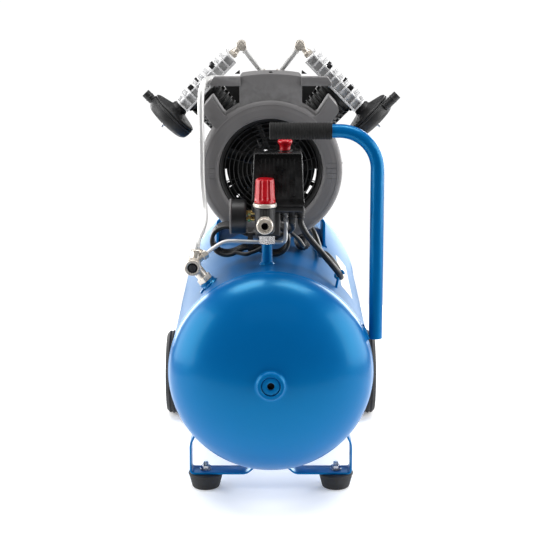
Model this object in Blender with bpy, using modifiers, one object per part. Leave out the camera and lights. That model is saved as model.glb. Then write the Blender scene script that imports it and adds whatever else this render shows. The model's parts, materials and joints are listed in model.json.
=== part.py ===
"""V-twin piston air compressor: a lying cylindrical tank on two wheels and two rubber feet, a direct-drive
pump and motor on a saddle bracket, a pressure switch with regulator on a riser, and an upright pull handle.

Metres, +Z up, front towards -Y. The origin is on the floor under the middle of the tank.
"""

import math

import bmesh
import bpy
from mathutils import Matrix, Vector

# ---- driving dimensions -------------------------------------------------------------------------

GAP = 0.0003

TANK_RADIUS = 0.150
TANK_HALF_SHELL = 0.300
TANK_AXIS_Z = 0.2047
DOME_DEPTH = 0.075
TANK_WALL = 0.003
BOSS_RADIUS = 0.020
BOSS_BORE = 0.0140
BOSS_TIP = 0.382

WHEEL_RADIUS = 0.073
WHEEL_WIDTH = 0.030
WHEEL_FACE_X = 0.1824
WHEEL_Y = 0.176
AXLE_RADIUS = 0.006

FOOT_X = 0.100
FOOT_Y = -0.221
FOOT_HEIGHT = 0.0242
STRIP = 0.003
FOOT_STRIP_WIDTH = 0.036

HANDLE_X = 0.1538
HANDLE_Y = -0.289
HANDLE_LOW_Z = 0.253
HANDLE_TOP_Z = 0.5589
HANDLE_RADIUS = 0.010
HANDLE_BEND = 0.055
GRIP_RADIUS = 0.0128
GRIP_LENGTH = 0.088

CRANK_Z = 0.479
SHROUD_FRONT = -0.145
SHROUD_BACK = -0.076
SHROUD_RADIUS = 0.109
INLET_RADIUS = 0.0795
SHROUD_WALL = 0.003
FAN_RADIUS = 0.073

CASE_RADIUS = 0.060
CYLINDER_Y = -0.030
BORE_RADIUS = 0.024
BARREL_RADIUS = 0.0275
FIN_RADIUS = 0.0315
FLANGE_RADIUS = 0.0340
HEAD_BASE = 0.1500
HEAD_TOP = 0.1690
HEAD_INNER = -0.075
HEAD_OUTER = 0.034
HEAD_HALF_WIDTH = 0.042
HEAD_AXIS = 0.1617
FIN_COUNT = 9

MOTOR_RADIUS = 0.064
MOTOR_FRONT = 0.0406
MOTOR_BACK = 0.200
DECK_Z = 0.374
BRACKET_FRONT = 0.033
BRACKET_LENGTH = 0.150
BRACKET_HALF_WIDTH = 0.090

RISER_X = -0.0055
RISER_Y = -0.238
SWITCH_X = 0.0105
SWITCH_Y = -0.240
SWITCH_FLOOR_Z = 0.4370
REGULATOR_X = -0.0085
REGULATOR_Y = -0.2885
COUPLER_Y = -0.3060
COUPLER_Z = 0.428
GAUGE_Z = 0.4275
GAUGE_RADIUS = 0.026

PORT_X = -0.0923
PORT_Y = -0.238
VALVE_REACH = 0.0375
HOOK_X = 0.0985
HOOK_Y = -0.242

X_AXIS = Vector((1, 0, 0))
Y_AXIS = Vector((0, 1, 0))
Z_AXIS = Vector((0, 0, 1))
SIDES = (("left", -1), ("right", 1))


# ---- scene and materials ------------------------------------------------------------------------

for old in list(bpy.data.objects):
    bpy.data.objects.remove(old)

PARTS = bpy.data.collections.new("air_compressor")
CUTTERS = bpy.data.collections.new("cutters")
bpy.context.scene.collection.children.link(PARTS)
bpy.context.scene.collection.children.link(CUTTERS)

FINISHES = {
    "tank_blue": ((0.0, 0.17, 0.62), 0.30, 0.0),
    "black_plastic": ((0.012, 0.012, 0.013), 0.45, 0.0),
    "grey_plastic": ((0.075, 0.075, 0.078), 0.55, 0.0),
    "black_paint": ((0.015, 0.015, 0.016), 0.40, 0.0),
    "rubber_black": ((0.018, 0.018, 0.018), 0.85, 0.0),
    "cast_alu": ((0.58, 0.58, 0.59), 0.45, 1.0),
    "pipe_alu": ((0.78, 0.78, 0.77), 0.35, 1.0),
    "nickel_brass": ((0.62, 0.56, 0.46), 0.28, 1.0),
    "brass": ((0.72, 0.50, 0.18), 0.30, 1.0),
    "steel": ((0.56, 0.56, 0.57), 0.35, 1.0),
    "red_plastic": ((0.72, 0.02, 0.03), 0.35, 0.0),
}


def finish(name):
    """The material of this name, made once."""
    found = bpy.data.materials.get(name)
    if found:
        return found
    colour, roughness, metallic = FINISHES[name]
    material = bpy.data.materials.new(name)
    material.use_nodes = True
    shader = material.node_tree.nodes["Principled BSDF"]
    shader.inputs["Base Color"].default_value = (*colour, 1.0)
    shader.inputs["Roughness"].default_value = roughness
    shader.inputs["Metallic"].default_value = metallic
    return material


# ---- modelling helpers --------------------------------------------------------------------------


def place(data, name, material, at=(0, 0, 0), axis=None, smooth=False):
    """Puts a mesh or curve in the parts collection, its own Z turned to the axis given."""
    obj = bpy.data.objects.new(name, data)
    PARTS.objects.link(obj)
    data.materials.append(finish(material))
    obj.location = at
    if axis is not None:
        obj.rotation_euler = Vector(axis).to_track_quat("Z", "Y").to_euler()
    if smooth:
        data.shade_smooth()
        data.set_sharp_from_angle(angle=math.radians(35))
    return obj


def block(name, low, high, material, bevel=0.0):
    """A box between two corners, with its edges rounded where a bevel width is given."""
    low, high = Vector(low), Vector(high)
    form = bmesh.new()
    bmesh.ops.create_cube(form, size=1.0)
    bmesh.ops.scale(form, vec=high - low, verts=form.verts)
    mesh = bpy.data.meshes.new(name)
    form.to_mesh(mesh)
    form.free()
    obj = place(mesh, name, material, at=(low + high) / 2)
    if bevel:
        edge = obj.modifiers.new("rounded edges", "BEVEL")
        edge.width = bevel
        edge.segments = 2
    return obj


def rod(name, start, end, radius, material, sides=16, end_radius=None):
    """A cylinder, cone or (with few sides) prism between two points."""
    start, end = Vector(start), Vector(end)
    form = bmesh.new()
    bmesh.ops.create_cone(form, cap_ends=True, segments=sides, radius1=radius,
                          radius2=radius if end_radius is None else end_radius, depth=(end - start).length)
    mesh = bpy.data.meshes.new(name)
    form.to_mesh(mesh)
    form.free()
    return place(mesh, name, material, at=(start + end) / 2, axis=end - start, smooth=sides > 8)


def turned(name, profile, material, at=(0, 0, 0), axis=Z_AXIS, steps=24, ring=False):
    """A profile of (radius, height) points, from the top down its outer side, turned about the axis."""
    mesh = bpy.data.meshes.new(name)
    count = len(profile)
    edges = [(i, i + 1) for i in range(count - 1)]
    if ring:
        edges.append((count - 1, 0))
    mesh.from_pydata([(radius, 0, height) for radius, height in profile], edges, [])
    obj = place(mesh, name, material, at=at, axis=axis)
    turn = obj.modifiers.new("turned", "SCREW")
    turn.steps = steps
    turn.render_steps = steps
    turn.use_merge_vertices = True
    turn.merge_threshold = 0.00005
    turn.use_smooth_shade = True
    return obj


def pipe(name, points, radius, material, detail=2):
    """A round bar or tube along a list of points, with closed ends."""
    curve = bpy.data.curves.new(name, "CURVE")
    curve.dimensions = "3D"
    line = curve.splines.new("POLY")
    line.points.add(len(points) - 1)
    for spot, point in zip(line.points, points):
        spot.co = (*point, 1.0)
    curve.bevel_depth = radius
    curve.bevel_resolution = detail
    curve.use_fill_caps = True
    return place(curve, name, material)


def flat(name, outline, thickness, material, at=(0, 0, 0), along=Y_AXIS, up=Z_AXIS):
    """A flat outline extruded equally both ways along a direction; its own Y is the way up."""
    curve = bpy.data.curves.new(name, "CURVE")
    curve.dimensions = "2D"
    curve.fill_mode = "BOTH"
    line = curve.splines.new("POLY")
    line.points.add(len(outline) - 1)
    for spot, (x, y) in zip(line.points, outline):
        spot.co = (x, y, 0.0, 1.0)
    line.use_cyclic_u = True
    curve.extrude = thickness / 2
    obj = place(curve, name, material)
    out = Vector(along).normalized()
    rise = Vector(up).normalized()
    turn = Matrix((rise.cross(out), rise, out)).transposed().to_4x4()
    obj.matrix_world = Matrix.Translation(at) @ turn
    return obj


def as_mesh(curve_object):
    """The same object as a closed mesh, so that it can be cut or joined."""
    bpy.context.view_layer.update()
    graph = bpy.context.evaluated_depsgraph_get()
    mesh = bpy.data.meshes.new_from_object(curve_object.evaluated_get(graph))
    form = bmesh.new()
    form.from_mesh(mesh)
    bmesh.ops.remove_doubles(form, verts=form.verts, dist=0.000002)
    form.to_mesh(mesh)
    form.free()
    name = curve_object.name
    where = curve_object.matrix_world.copy()
    curve = curve_object.data
    bpy.data.objects.remove(curve_object)
    bpy.data.curves.remove(curve)
    obj = bpy.data.objects.new(name, mesh)
    PARTS.objects.link(obj)
    obj.matrix_world = where
    return obj


def combine(obj, others, operation):
    """Adds one Boolean for each helper, which becomes a hidden cutter."""
    for helper in others:
        if helper.type == "CURVE":
            helper = as_mesh(helper)
        PARTS.objects.unlink(helper)
        CUTTERS.objects.link(helper)
        helper.name = f"{obj.name}_{operation.lower()}_{len(obj.modifiers)}"
        helper.hide_render = True
        helper.display_type = "WIRE"
        change = obj.modifiers.new(helper.name, "BOOLEAN")
        change.operation = operation
        change.object = helper
        change.solver = "EXACT"
    return obj


def join(obj, *others):
    return combine(obj, others, "UNION")


def cut(obj, *others):
    return combine(obj, others, "DIFFERENCE")


def smooth_route(points, spacing):
    """Points read at an even spacing from a smooth curve through the route's own points."""
    route = [Vector(point) for point in points]
    ends = [2 * route[0] - route[1]] + route + [2 * route[-1] - route[-2]]
    found = [route[0]]
    for before, start, end, after in zip(ends, ends[1:], ends[2:], ends[3:]):
        steps = max(1, round((end - start).length / spacing))
        for step in range(1, steps + 1):
            t = step / steps
            found.append(0.5 * ((2 * start) + (end - before) * t
                                + (2 * before - 5 * start + 4 * end - after) * t * t
                                + (3 * start - before - 3 * end + after) * t * t * t))
    return found


def arc(centre_a, centre_b, radius, start, end, steps):
    """Points on an arc in a plane, with angles in degrees."""
    return [(centre_a + radius * math.cos(math.radians(start + (end - start) * i / steps)),
             centre_b + radius * math.sin(math.radians(start + (end - start) * i / steps)))
            for i in range(steps + 1)]


def tank_height(x):
    """How high the tank's top surface is at this distance from its middle."""
    return TANK_AXIS_Z + math.sqrt(TANK_RADIUS ** 2 - x ** 2)


def bank_point(side, out, across, y):
    """A point of one cylinder bank: its distance out from the crank, across the bank, and its Y."""
    slope = math.sqrt(0.5)
    return Vector((side * slope * (out + across), y, CRANK_Z + slope * (out - across)))


def bank_axis(side):
    return Vector((side, 0, 1)).normalized()


def bank_across(side):
    return Vector((side, 0, -1)).normalized()


# ---- tank ---------------------------------------------------------------------------------------


def dome_points(radius, depth, open_radius, steps):
    """A half-ellipse dome from the opening out to the shell, as (radius, height beyond the shell)."""
    first = math.acos(open_radius / radius)
    return [(radius * math.cos(first * (1 - i / steps)), depth * math.sin(first * (1 - i / steps)))
            for i in range(steps + 1)]


def tank():
    """The pressure shell with its two threaded end bosses, its top and bottom ports all open."""
    outer = dome_points(TANK_RADIUS, DOME_DEPTH, BOSS_RADIUS, 5)
    inner = dome_points(TANK_RADIUS - TANK_WALL, DOME_DEPTH - TANK_WALL, BOSS_RADIUS, 4)
    half_outside = [(BOSS_BORE, BOSS_TIP), (BOSS_RADIUS, BOSS_TIP)]
    half_outside += [(r, TANK_HALF_SHELL + h) for r, h in outer]
    half_inside = [(r, TANK_HALF_SHELL + h) for r, h in reversed(inner)]
    half_inside += [(BOSS_RADIUS, 0.362), (BOSS_BORE, 0.362)]
    profile = half_outside + [(r, -h) for r, h in reversed(half_outside)]
    profile += [(r, -h) for r, h in reversed(half_inside)] + half_inside
    shell = turned("tank_shell", profile, "tank_blue", at=(0, 0, TANK_AXIS_Z), axis=Y_AXIS, steps=32, ring=True)
    radial = Vector((PORT_X, 0, tank_height(PORT_X) - TANK_AXIS_Z)).normalized()
    port = Vector((PORT_X, PORT_Y, tank_height(PORT_X)))
    hook = Vector((HOOK_X, HOOK_Y, tank_height(HOOK_X)))
    hook_way = Vector((HOOK_X, 0, hook.z - TANK_AXIS_Z)).normalized()
    join(shell, rod("port", port - radial * 0.010, port + radial * 0.0065, 0.0125, "tank_blue", sides=16),
         rod("cable_hook", hook - hook_way * 0.0015, hook + hook_way * 0.0060, 0.0045, "tank_blue", sides=12))
    cut(shell,
        rod("riser_hole", (RISER_X, RISER_Y, 0.33), (RISER_X, RISER_Y, 0.37), 0.0078 + GAP, "tank_blue", sides=16),
        rod("port_hole", port - radial * 0.020, port + radial * 0.020, 0.0085 + GAP, "tank_blue", sides=16),
        rod("drain_hole", (0, 0.05, 0.03), (0, 0.05, 0.08), 0.0085 + GAP, "tank_blue", sides=16))


def end_plug(name, side):
    """A blanking plug with a round key socket, screwed into the boss."""
    face = side * 0.3800
    inner = side * 0.3625
    plug = rod(name, (0, inner, TANK_AXIS_Z), (0, face, TANK_AXIS_Z), BOSS_BORE - GAP, "tank_blue", sides=24)
    cut(plug, rod("socket", (0, side * 0.3720, TANK_AXIS_Z), (0, side * 0.390, TANK_AXIS_Z), 0.0055,
                  "tank_blue", sides=16))


def drain_valve():
    """A drain cock under the lowest line of the tank: its body, and the knurled knob that opens it."""
    low = TANK_AXIS_Z - TANK_RADIUS
    body = rod("drain_body", (0, 0.05, low - 0.012), (0, 0.05, low + 0.006), 0.0085, "brass", sides=16)
    join(body, rod("hexagon", (0, 0.05, low - 0.016), (0, 0.05, low - 0.004), 0.011, "brass", sides=6))
    cut(body, rod("passage", (0, 0.05, low - 0.020), (0, 0.05, low + 0.010), 0.0035, "brass", sides=12))
    knob = turned("drain_knob", [(0, -0.0163), (0.0085, -0.0163), (0.0090, -0.0175), (0.0090, -0.0255),
                                 (0.0080, -0.0265), (0, -0.0265)], "brass", at=(0, 0.05, low), steps=20)
    return knob


# ---- wheels, feet and handle --------------------------------------------------------------------


def wheels():
    """Two plastic wheels on stub axles, each stub on a plate welded to the tank's side."""
    inner_x = WHEEL_FACE_X - WHEEL_WIDTH
    for name, side in SIDES:
        tyre = [(WHEEL_RADIUS - 0.006, 0.015), (WHEEL_RADIUS, 0.009), (WHEEL_RADIUS, -0.009),
                (WHEEL_RADIUS - 0.006, -0.015), (0.054, -0.013), (0.054, 0.013)]
        at = (side * (inner_x + WHEEL_WIDTH / 2), WHEEL_Y, WHEEL_RADIUS)
        turned(f"wheel_tyre_{name}", tyre, "black_plastic", at=at, axis=X_AXIS * side, steps=24, ring=True)
        bore = AXLE_RADIUS + 0.0003
        rim = [(bore, 0.0115), (0.013, 0.0115), (0.016, 0.006), (0.047, 0.006), (0.0505, 0.0125),
               (0.0537, 0.0125), (0.0537, -0.0125), (0.0505, -0.0125), (0.014, -0.003), (0.012, -0.0135),
               (bore, -0.0135)]
        turned(f"wheel_rim_{name}", rim, "black_plastic", at=at, axis=X_AXIS * side, steps=24, ring=True)
        plate_x = side * (inner_x - 0.004)
        plate = flat(f"wheel_bracket_{name}",
                     [(-0.022, 0.060), (-0.012, 0.056), (0.012, 0.056), (0.022, 0.060), (0.030, 0.160),
                      (-0.030, 0.160)],
                     0.0040, "tank_blue", at=(plate_x, WHEEL_Y, 0), along=X_AXIS)
        plate = as_mesh(plate)
        tip = side * (WHEEL_FACE_X - 0.0015)
        stub = rod("stub", (plate_x - side * 0.003, WHEEL_Y, WHEEL_RADIUS), (tip, WHEEL_Y, WHEEL_RADIUS),
                   AXLE_RADIUS, "steel", sides=20)
        cap = rod("cap", (side * (inner_x + WHEEL_WIDTH / 2 + 0.0118), WHEEL_Y, WHEEL_RADIUS),
                  (tip, WHEEL_Y, WHEEL_RADIUS), 0.009, "steel", sides=20)
        web = block("web", (min(side * 0.100, plate_x), WHEEL_Y - 0.012, 0.112),
                    (max(side * 0.100, plate_x), WHEEL_Y + 0.012, 0.118), "tank_blue")
        join(plate, stub, cap, web)
        cut(plate, rod("tank_side", (0, WHEEL_Y - 0.1, TANK_AXIS_Z), (0, WHEEL_Y + 0.1, TANK_AXIS_Z),
                       TANK_RADIUS + GAP, "tank_blue", sides=96))


def feet():
    """One bent strip under the front of the tank carries two rubber feet, each on its own bolt."""
    top = FOOT_HEIGHT + GAP + STRIP
    leg_x = 0.1240
    half = [(leg_x - 0.0130, 0.1015), (leg_x, 0.0730), (leg_x, top - STRIP), (0.0365, top - STRIP),
            (0.0040, TANK_AXIS_Z - TANK_RADIUS - GAP - STRIP)]
    inner = [(leg_x - STRIP - 0.0140, 0.0990), (leg_x - STRIP, 0.0722), (leg_x - STRIP, top), (0.0378, top),
             (0.0050, TANK_AXIS_Z - TANK_RADIUS - GAP)]
    outline = half + [(-x, z) for x, z in reversed(half)]
    outline += [(-x, z) for x, z in inner] + list(reversed(inner))
    strip = as_mesh(flat("foot_bracket", outline, FOOT_STRIP_WIDTH, "tank_blue", at=(0, FOOT_Y, 0), along=-Y_AXIS))
    for name, side in SIDES:
        x = side * FOOT_X
        foot = turned(f"rubber_foot_{name}",
                      [(0, FOOT_HEIGHT), (0.0255, FOOT_HEIGHT), (0.0270, FOOT_HEIGHT - 0.0015),
                       (0.0205, 0.0012), (0.0193, 0), (0, 0)],
                      "rubber_black", at=(x, FOOT_Y, 0), steps=24)
        cut(foot, rod("bolt_hole", (x, FOOT_Y, 0.008), (x, FOOT_Y, 0.03), 0.0040 + GAP, "steel", sides=12))
        cut(strip, rod("strip_hole", (x, FOOT_Y, 0.01), (x, FOOT_Y, 0.05), 0.0040 + GAP, "steel", sides=12))
        bolt = rod(f"foot_bolt_{name}", (x, FOOT_Y, 0.0085), (x, FOOT_Y, 0.0400), 0.0040, "steel", sides=12)
        join(bolt, rod("nut", (x, FOOT_Y, top + GAP), (x, FOOT_Y, top + GAP + 0.0065), 0.0075, "steel", sides=6))


def handle():
    """An upright tube welded to the tank's right side, bent over the switch, with a ribbed grip."""
    corner = (HANDLE_X - HANDLE_BEND, HANDLE_TOP_Z - HANDLE_BEND)
    bend = arc(corner[0], corner[1], HANDLE_BEND, 0, 90, 8)
    route = [(HANDLE_X, HANDLE_Y, HANDLE_LOW_Z)] + [(x, HANDLE_Y, z) for x, z in bend]
    route.append((0.0012, HANDLE_Y, HANDLE_TOP_Z))
    tube = as_mesh(pipe("handle_tube", route, HANDLE_RADIUS, "tank_blue", detail=3))
    cut(tube, rod("tank_side", (0, -0.40, TANK_AXIS_Z), (0, -0.20, TANK_AXIS_Z), TANK_RADIUS + GAP,
                  "tank_blue", sides=96))
    bore = HANDLE_RADIUS + GAP
    ribs = 3
    profile = [(bore, GRIP_LENGTH), (GRIP_RADIUS, GRIP_LENGTH)]
    for i in range(1, ribs):
        z = GRIP_LENGTH * (1 - i / ribs)
        profile += [(GRIP_RADIUS, z + 0.0008), (GRIP_RADIUS - 0.0006, z), (GRIP_RADIUS, z - 0.0008)]
    profile += [(GRIP_RADIUS, -0.0010), (GRIP_RADIUS - 0.001, -0.0020), (0, -0.0020), (0, 0.0008), (bore, 0.0008)]
    turned("handle_grip", profile + [profile[0]], "rubber_black", at=(0, HANDLE_Y, HANDLE_TOP_Z), axis=X_AXIS,
           steps=14)


# ---- pump ---------------------------------------------------------------------------------------


def pump_bracket():
    """A bent saddle: a deck under the pump and two legs that follow the tank's sides."""
    wall = 0.004
    leg = BRACKET_HALF_WIDTH
    foot = 0.3225
    outline = [(-leg, foot), (-leg, DECK_Z), (leg, DECK_Z), (leg, foot), (leg - wall, foot),
               (leg - wall, DECK_Z - wall), (wall - leg, DECK_Z - wall), (wall - leg, foot)]
    saddle = as_mesh(flat("pump_bracket", outline, BRACKET_LENGTH, "tank_blue",
                          at=(0, BRACKET_FRONT + BRACKET_LENGTH / 2, 0), along=-Y_AXIS))
    cut(saddle, rod("tank_top", (0, 0, TANK_AXIS_Z), (0, 0.3, TANK_AXIS_Z), TANK_RADIUS + GAP, "tank_blue",
                    sides=96))


def shroud():
    """The cooling cowl: a bell-mouthed ring round the fan, a box above it, and two arms to each bank."""
    lip = arc(INLET_RADIUS + 0.007, 0.0625, 0.0070, 180, 90, 4)
    rim = arc(SHROUD_RADIUS - 0.006, 0.0630, 0.0060, 90, 0, 3)
    wall = SHROUD_WALL
    profile = [(r, h) for r, h in lip + rim]
    profile += [(SHROUD_RADIUS, 0.0), (SHROUD_RADIUS - wall, 0.0), (SHROUD_RADIUS - wall, 0.0630),
                (SHROUD_RADIUS - 0.007, 0.0655), (INLET_RADIUS + 0.007, 0.0655),
                (INLET_RADIUS + wall, 0.0620), (INLET_RADIUS + wall, 0.0500), (INLET_RADIUS, 0.0500)]
    ring = turned("shroud", profile, "grey_plastic", at=(0, SHROUD_BACK, CRANK_Z), axis=-Y_AXIS, steps=36,
                  ring=True)
    depth = SHROUD_BACK - SHROUD_FRONT
    middle = (0, (SHROUD_FRONT + SHROUD_BACK) / 2, CRANK_Z)
    top_z = 0.1440
    box_half = 0.0475
    crown = [(x, top_z + 0.004 * math.cos(math.pi * x / (2 * box_half)) ** 0.5)
             for x in (-0.040, -0.020, 0.0, 0.020, 0.040)]
    box = flat("box", [(-box_half, 0.085), (box_half, 0.085), (box_half, top_z)] + crown[::-1]
               + [(-box_half, top_z)], depth, "grey_plastic", at=middle)
    hollow = flat("hollow", [(-box_half + wall, 0.080), (box_half - wall, 0.080), (box_half - wall, top_z - wall),
                             (-box_half + wall, top_z - wall)], depth, "grey_plastic",
                  at=(0, middle[1] + wall, CRANK_Z))
    join(ring, box)
    for _, side in SIDES:
        bar = [(0.046, 0.1300), (0.0930, 0.1300), (0.0850, 0.1435), (0.046, 0.1435)]
        arm = [(0.0560, 0.0790), (0.0715, 0.0860), (0.0894, 0.1130), (0.1020, 0.0990), (0.1036, 0.0910),
               (0.0929, 0.0760), (0.0840, 0.0640)]
        thin = 0.0160
        join(ring, flat("bar", [(side * x, z) for x, z in bar], thin, "grey_plastic",
                        at=(0, SHROUD_FRONT + thin / 2, CRANK_Z)),
             flat("arm", [(side * x, z) for x, z in arm], depth, "grey_plastic", at=middle))
    cut(ring, hollow)
    return ring


def fan_guard():
    """A moulded round grille in the inlet: thin rings tied by spokes."""
    y = -0.128
    outer = INLET_RADIUS - GAP
    guard = turned("fan_guard", [(outer - 0.0022, 0.0012), (outer, 0.0012), (outer, -0.0012),
                                 (outer - 0.0022, -0.0012)], "black_plastic", at=(0, y, CRANK_Z), axis=-Y_AXIS,
                   steps=24, ring=True)
    for radius in (0.020, 0.040, 0.060):
        join(guard, turned("guard_ring", [(radius - 0.0009, 0.0010), (radius + 0.0009, 0.0010),
                                          (radius + 0.0009, -0.0010), (radius - 0.0009, -0.0010)],
                           "black_plastic", at=(0, y, CRANK_Z), axis=-Y_AXIS, steps=16, ring=True))
    for i in range(3):
        bar = block("spoke", (-outer + 0.001, -0.0008, -0.0010), (outer - 0.001, 0.0008, 0.0010), "black_plastic")
        bar.matrix_world = (Matrix.Translation((0, y + 0.0002, CRANK_Z))
                            @ Matrix.Rotation(math.radians(60 * i + 45), 4, "Y"))
        join(guard, bar)


def fan():
    """An axial fan on the crankshaft's nose."""
    y = -0.106
    hub = rod("fan", (0, y - 0.010, CRANK_Z), (0, y + 0.010, CRANK_Z), 0.020, "black_plastic", sides=24)
    blades = 6
    for i in range(blades):
        blade = block("blade", (0.016, -0.0012, -0.015), (FAN_RADIUS, 0.0012, 0.015), "black_plastic")
        blade.matrix_world = (Matrix.Translation((0, y, CRANK_Z))
                              @ Matrix.Rotation(math.radians(360 * i / blades + 20), 4, "Y")
                              @ Matrix.Rotation(math.radians(58), 4, "X") @ blade.matrix_basis)
        join(hub, blade)
    cut(hub, rod("shaft_hole", (0, y - 0.02, CRANK_Z), (0, y + 0.02, CRANK_Z), 0.0070 + GAP, "steel", sides=20))


def crankshaft():
    """One shaft from the fan through the crank throw and the motor's rotor to the rear bearing."""
    shaft = rod("crankshaft", (0, -0.119, CRANK_Z), (0, 0.224, CRANK_Z), 0.0070, "steel", sides=20)
    for low, high in ((-0.050, -0.044), (-0.016, -0.010)):
        join(shaft, rod("web", (0, low, CRANK_Z - 0.004), (0, high, CRANK_Z - 0.004), 0.026, "steel", sides=16))
    join(shaft, rod("crank_pin", (0, -0.046, CRANK_Z + 0.014), (0, -0.014, CRANK_Z + 0.014), 0.0065, "steel",
                    sides=16),
         rod("rotor", (0, 0.070, CRANK_Z), (0, 0.140, CRANK_Z), 0.034, "steel", sides=20))


def crankcase():
    """A cast drum round the crank, with a bored boss for each cylinder and a bearing nose in front."""
    profile = [(0.0075 + GAP, 0.0480), (0.020, 0.0480), (0.024, 0.0370), (CASE_RADIUS - 0.006, 0.0350),
               (CASE_RADIUS, 0.0300), (CASE_RADIUS, -0.0700), (0.050, -0.0700), (0.050, 0.0270),
               (0.0075 + GAP, 0.0270)]
    case = turned("crankcase", profile, "black_paint", at=(0, CYLINDER_Y, CRANK_Z), axis=-Y_AXIS, steps=20, ring=True)
    for _, side in SIDES:
        join(case, rod("boss", bank_point(side, 0.045, 0, CYLINDER_Y), bank_point(side, 0.0655, 0, CYLINDER_Y),
                       0.031, "black_paint", sides=20))
    for _, side in SIDES:
        cut(case, rod("bore", bank_point(side, 0.030, 0, CYLINDER_Y), bank_point(side, 0.070, 0, CYLINDER_Y),
                      BORE_RADIUS + 0.001, "black_paint", sides=20))
    join(case, rod("lead_entry", (0.0440, 0.0250, 0.4163), (0.0440, 0.0250, 0.4400), 0.0080, "black_paint", sides=16))
    cut(case, rod("crank_room", (0, -0.056, CRANK_Z), (0, 0.060, CRANK_Z), 0.0498, "black_paint", sides=24))


def cylinder(name, side):
    """A black finned barrel on the crankcase, open at both ends."""
    base = 0.0655 + GAP
    top = HEAD_BASE - GAP
    fins = 4
    pitch = (top - base - 0.010) / fins
    profile = [(BORE_RADIUS, top), (FLANGE_RADIUS, top), (FLANGE_RADIUS, top - 0.004)]
    for i in range(fins):
        z = top - 0.004 - pitch * (i + 0.5)
        profile += [(BARREL_RADIUS, z + 0.0030), (FIN_RADIUS, z + 0.0014), (FIN_RADIUS, z - 0.0014),
                    (BARREL_RADIUS, z - 0.0030)]
    profile += [(BARREL_RADIUS, base + 0.004), (BARREL_RADIUS, base), (BORE_RADIUS, base)]
    turned(f"cylinder_{name}", profile, "black_paint", at=bank_point(side, 0, 0, CYLINDER_Y),
           axis=bank_axis(side), steps=16, ring=True)


def piston(name, side):
    """A flat-topped piston at the middle of its stroke."""
    profile = [(0, 0.130), (0.0225, 0.130), (BORE_RADIUS - GAP, 0.129), (BORE_RADIUS - GAP, 0.104),
               (0.0190, 0.104), (0.0190, 0.124), (0, 0.124)]
    turned(f"piston_{name}", profile, "cast_alu", at=bank_point(side, 0, 0, CYLINDER_Y), axis=bank_axis(side),
           steps=16)


def head(name, side):
    """The finned cylinder head, longer towards the middle, where its outlet is."""
    pitch = (HEAD_OUTER - HEAD_INNER) / FIN_COUNT
    thick = 0.0026
    outline = [(HEAD_INNER, HEAD_BASE), (HEAD_OUTER, HEAD_BASE)]
    for i in range(FIN_COUNT + 1):
        middle = HEAD_OUTER - thick / 2 - i * (HEAD_OUTER - HEAD_INNER - thick) / FIN_COUNT
        height = HEAD_TOP + (0.010 if 0 < i < FIN_COUNT else 0.006)
        right = min(HEAD_OUTER, middle + thick / 2)
        left = max(HEAD_INNER, middle - thick / 2)
        outline += [(right, height), (left, height)]
        if i < FIN_COUNT:
            outline += [(left, HEAD_TOP), (left - pitch + thick, HEAD_TOP)]
    body = flat(f"head_{name}", [(side * across, out) for across, out in outline], 2 * HEAD_HALF_WIDTH, "cast_alu",
                at=bank_point(side, 0, 0, CYLINDER_Y), along=-Y_AXIS, up=bank_axis(side))
    return body


def filter_base(name, side):
    """The filter's neck and back plate, on the outer end of the head."""
    start = HEAD_OUTER + GAP
    profile = [(0, 0.0555), (0.0395, 0.0555), (0.0395, 0.0525), (0.0360, 0.0510), (0.0120, 0.0445),
               (0.0110, 0.0435), (0.0110, start), (0, start)]
    at = bank_point(side, HEAD_AXIS, 0, CYLINDER_Y)
    turned(f"filter_base_{name}", profile, "black_plastic", at=at, axis=bank_across(side), steps=18)


def filter_cover(name, side, spout_y, spout_start):
    """The filter's cup with a stud and wing nut in the middle, and an air spout beside its axis or in line."""
    face = 0.0555 + GAP
    profile = [(0, 0.0850), (0.0025, 0.0850), (0.0025, 0.0775), (0.0290, 0.0770), (0.0365, 0.0730),
               (0.0400, 0.0650), (0.0400, face), (0.0375, face), (0.0365, 0.0660), (0.0300, 0.0740), (0, 0.0745)]
    at = bank_point(side, HEAD_AXIS, 0, CYLINDER_Y)
    cup = turned(f"filter_cover_{name}", profile, "black_plastic", at=at, axis=bank_across(side), steps=20)
    way = bank_axis(side)
    centre = at + bank_across(side) * 0.0640 + Y_AXIS * spout_y
    tip = 0.0550
    join(cup, rod("spout", centre + way * spout_start, centre + way * tip, 0.0070, "black_plastic", sides=16))
    cut(cup, rod("spout_bore", centre + way * 0.0200, centre + way * (tip + 0.004), 0.0050, "black_plastic",
                 sides=12))


def head_elbow(name, side):
    """A banjo elbow on the head's inner end: a hexagon, a stem and an eye whose axis runs front to back."""
    start = HEAD_INNER - GAP
    stem = rod(f"head_elbow_{name}", bank_point(side, HEAD_AXIS, start, CYLINDER_Y),
               bank_point(side, HEAD_AXIS, -0.0965, CYLINDER_Y), 0.0045, "nickel_brass", sides=12)
    join(stem, rod("hexagon", bank_point(side, HEAD_AXIS, start, CYLINDER_Y),
                   bank_point(side, HEAD_AXIS, start - 0.0045, CYLINDER_Y), 0.0080, "nickel_brass", sides=6),
         rod("eye", bank_point(side, HEAD_AXIS, -0.0965, CYLINDER_Y - 0.009),
             bank_point(side, HEAD_AXIS, -0.0965, CYLINDER_Y + 0.009), 0.0085, "nickel_brass", sides=20))


def link_pipe():
    """The two head outlets joined behind the cowl, in a tee above the crankcase."""
    tee = block("link_pipe", (-0.016, -0.042, 0.600), (0.016, -0.018, 0.622), "pipe_alu", bevel=0.003)
    for _, side in SIDES:
        eye = bank_point(side, HEAD_AXIS, -0.0965, CYLINDER_Y)
        down = (Vector((side * 0.0120, CYLINDER_Y, 0.618)) - eye).normalized()
        join(tee, rod("branch", eye + down * (0.0085 + GAP), (side * 0.0080, CYLINDER_Y, 0.612), 0.0045,
                      "pipe_alu", sides=12))


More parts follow.
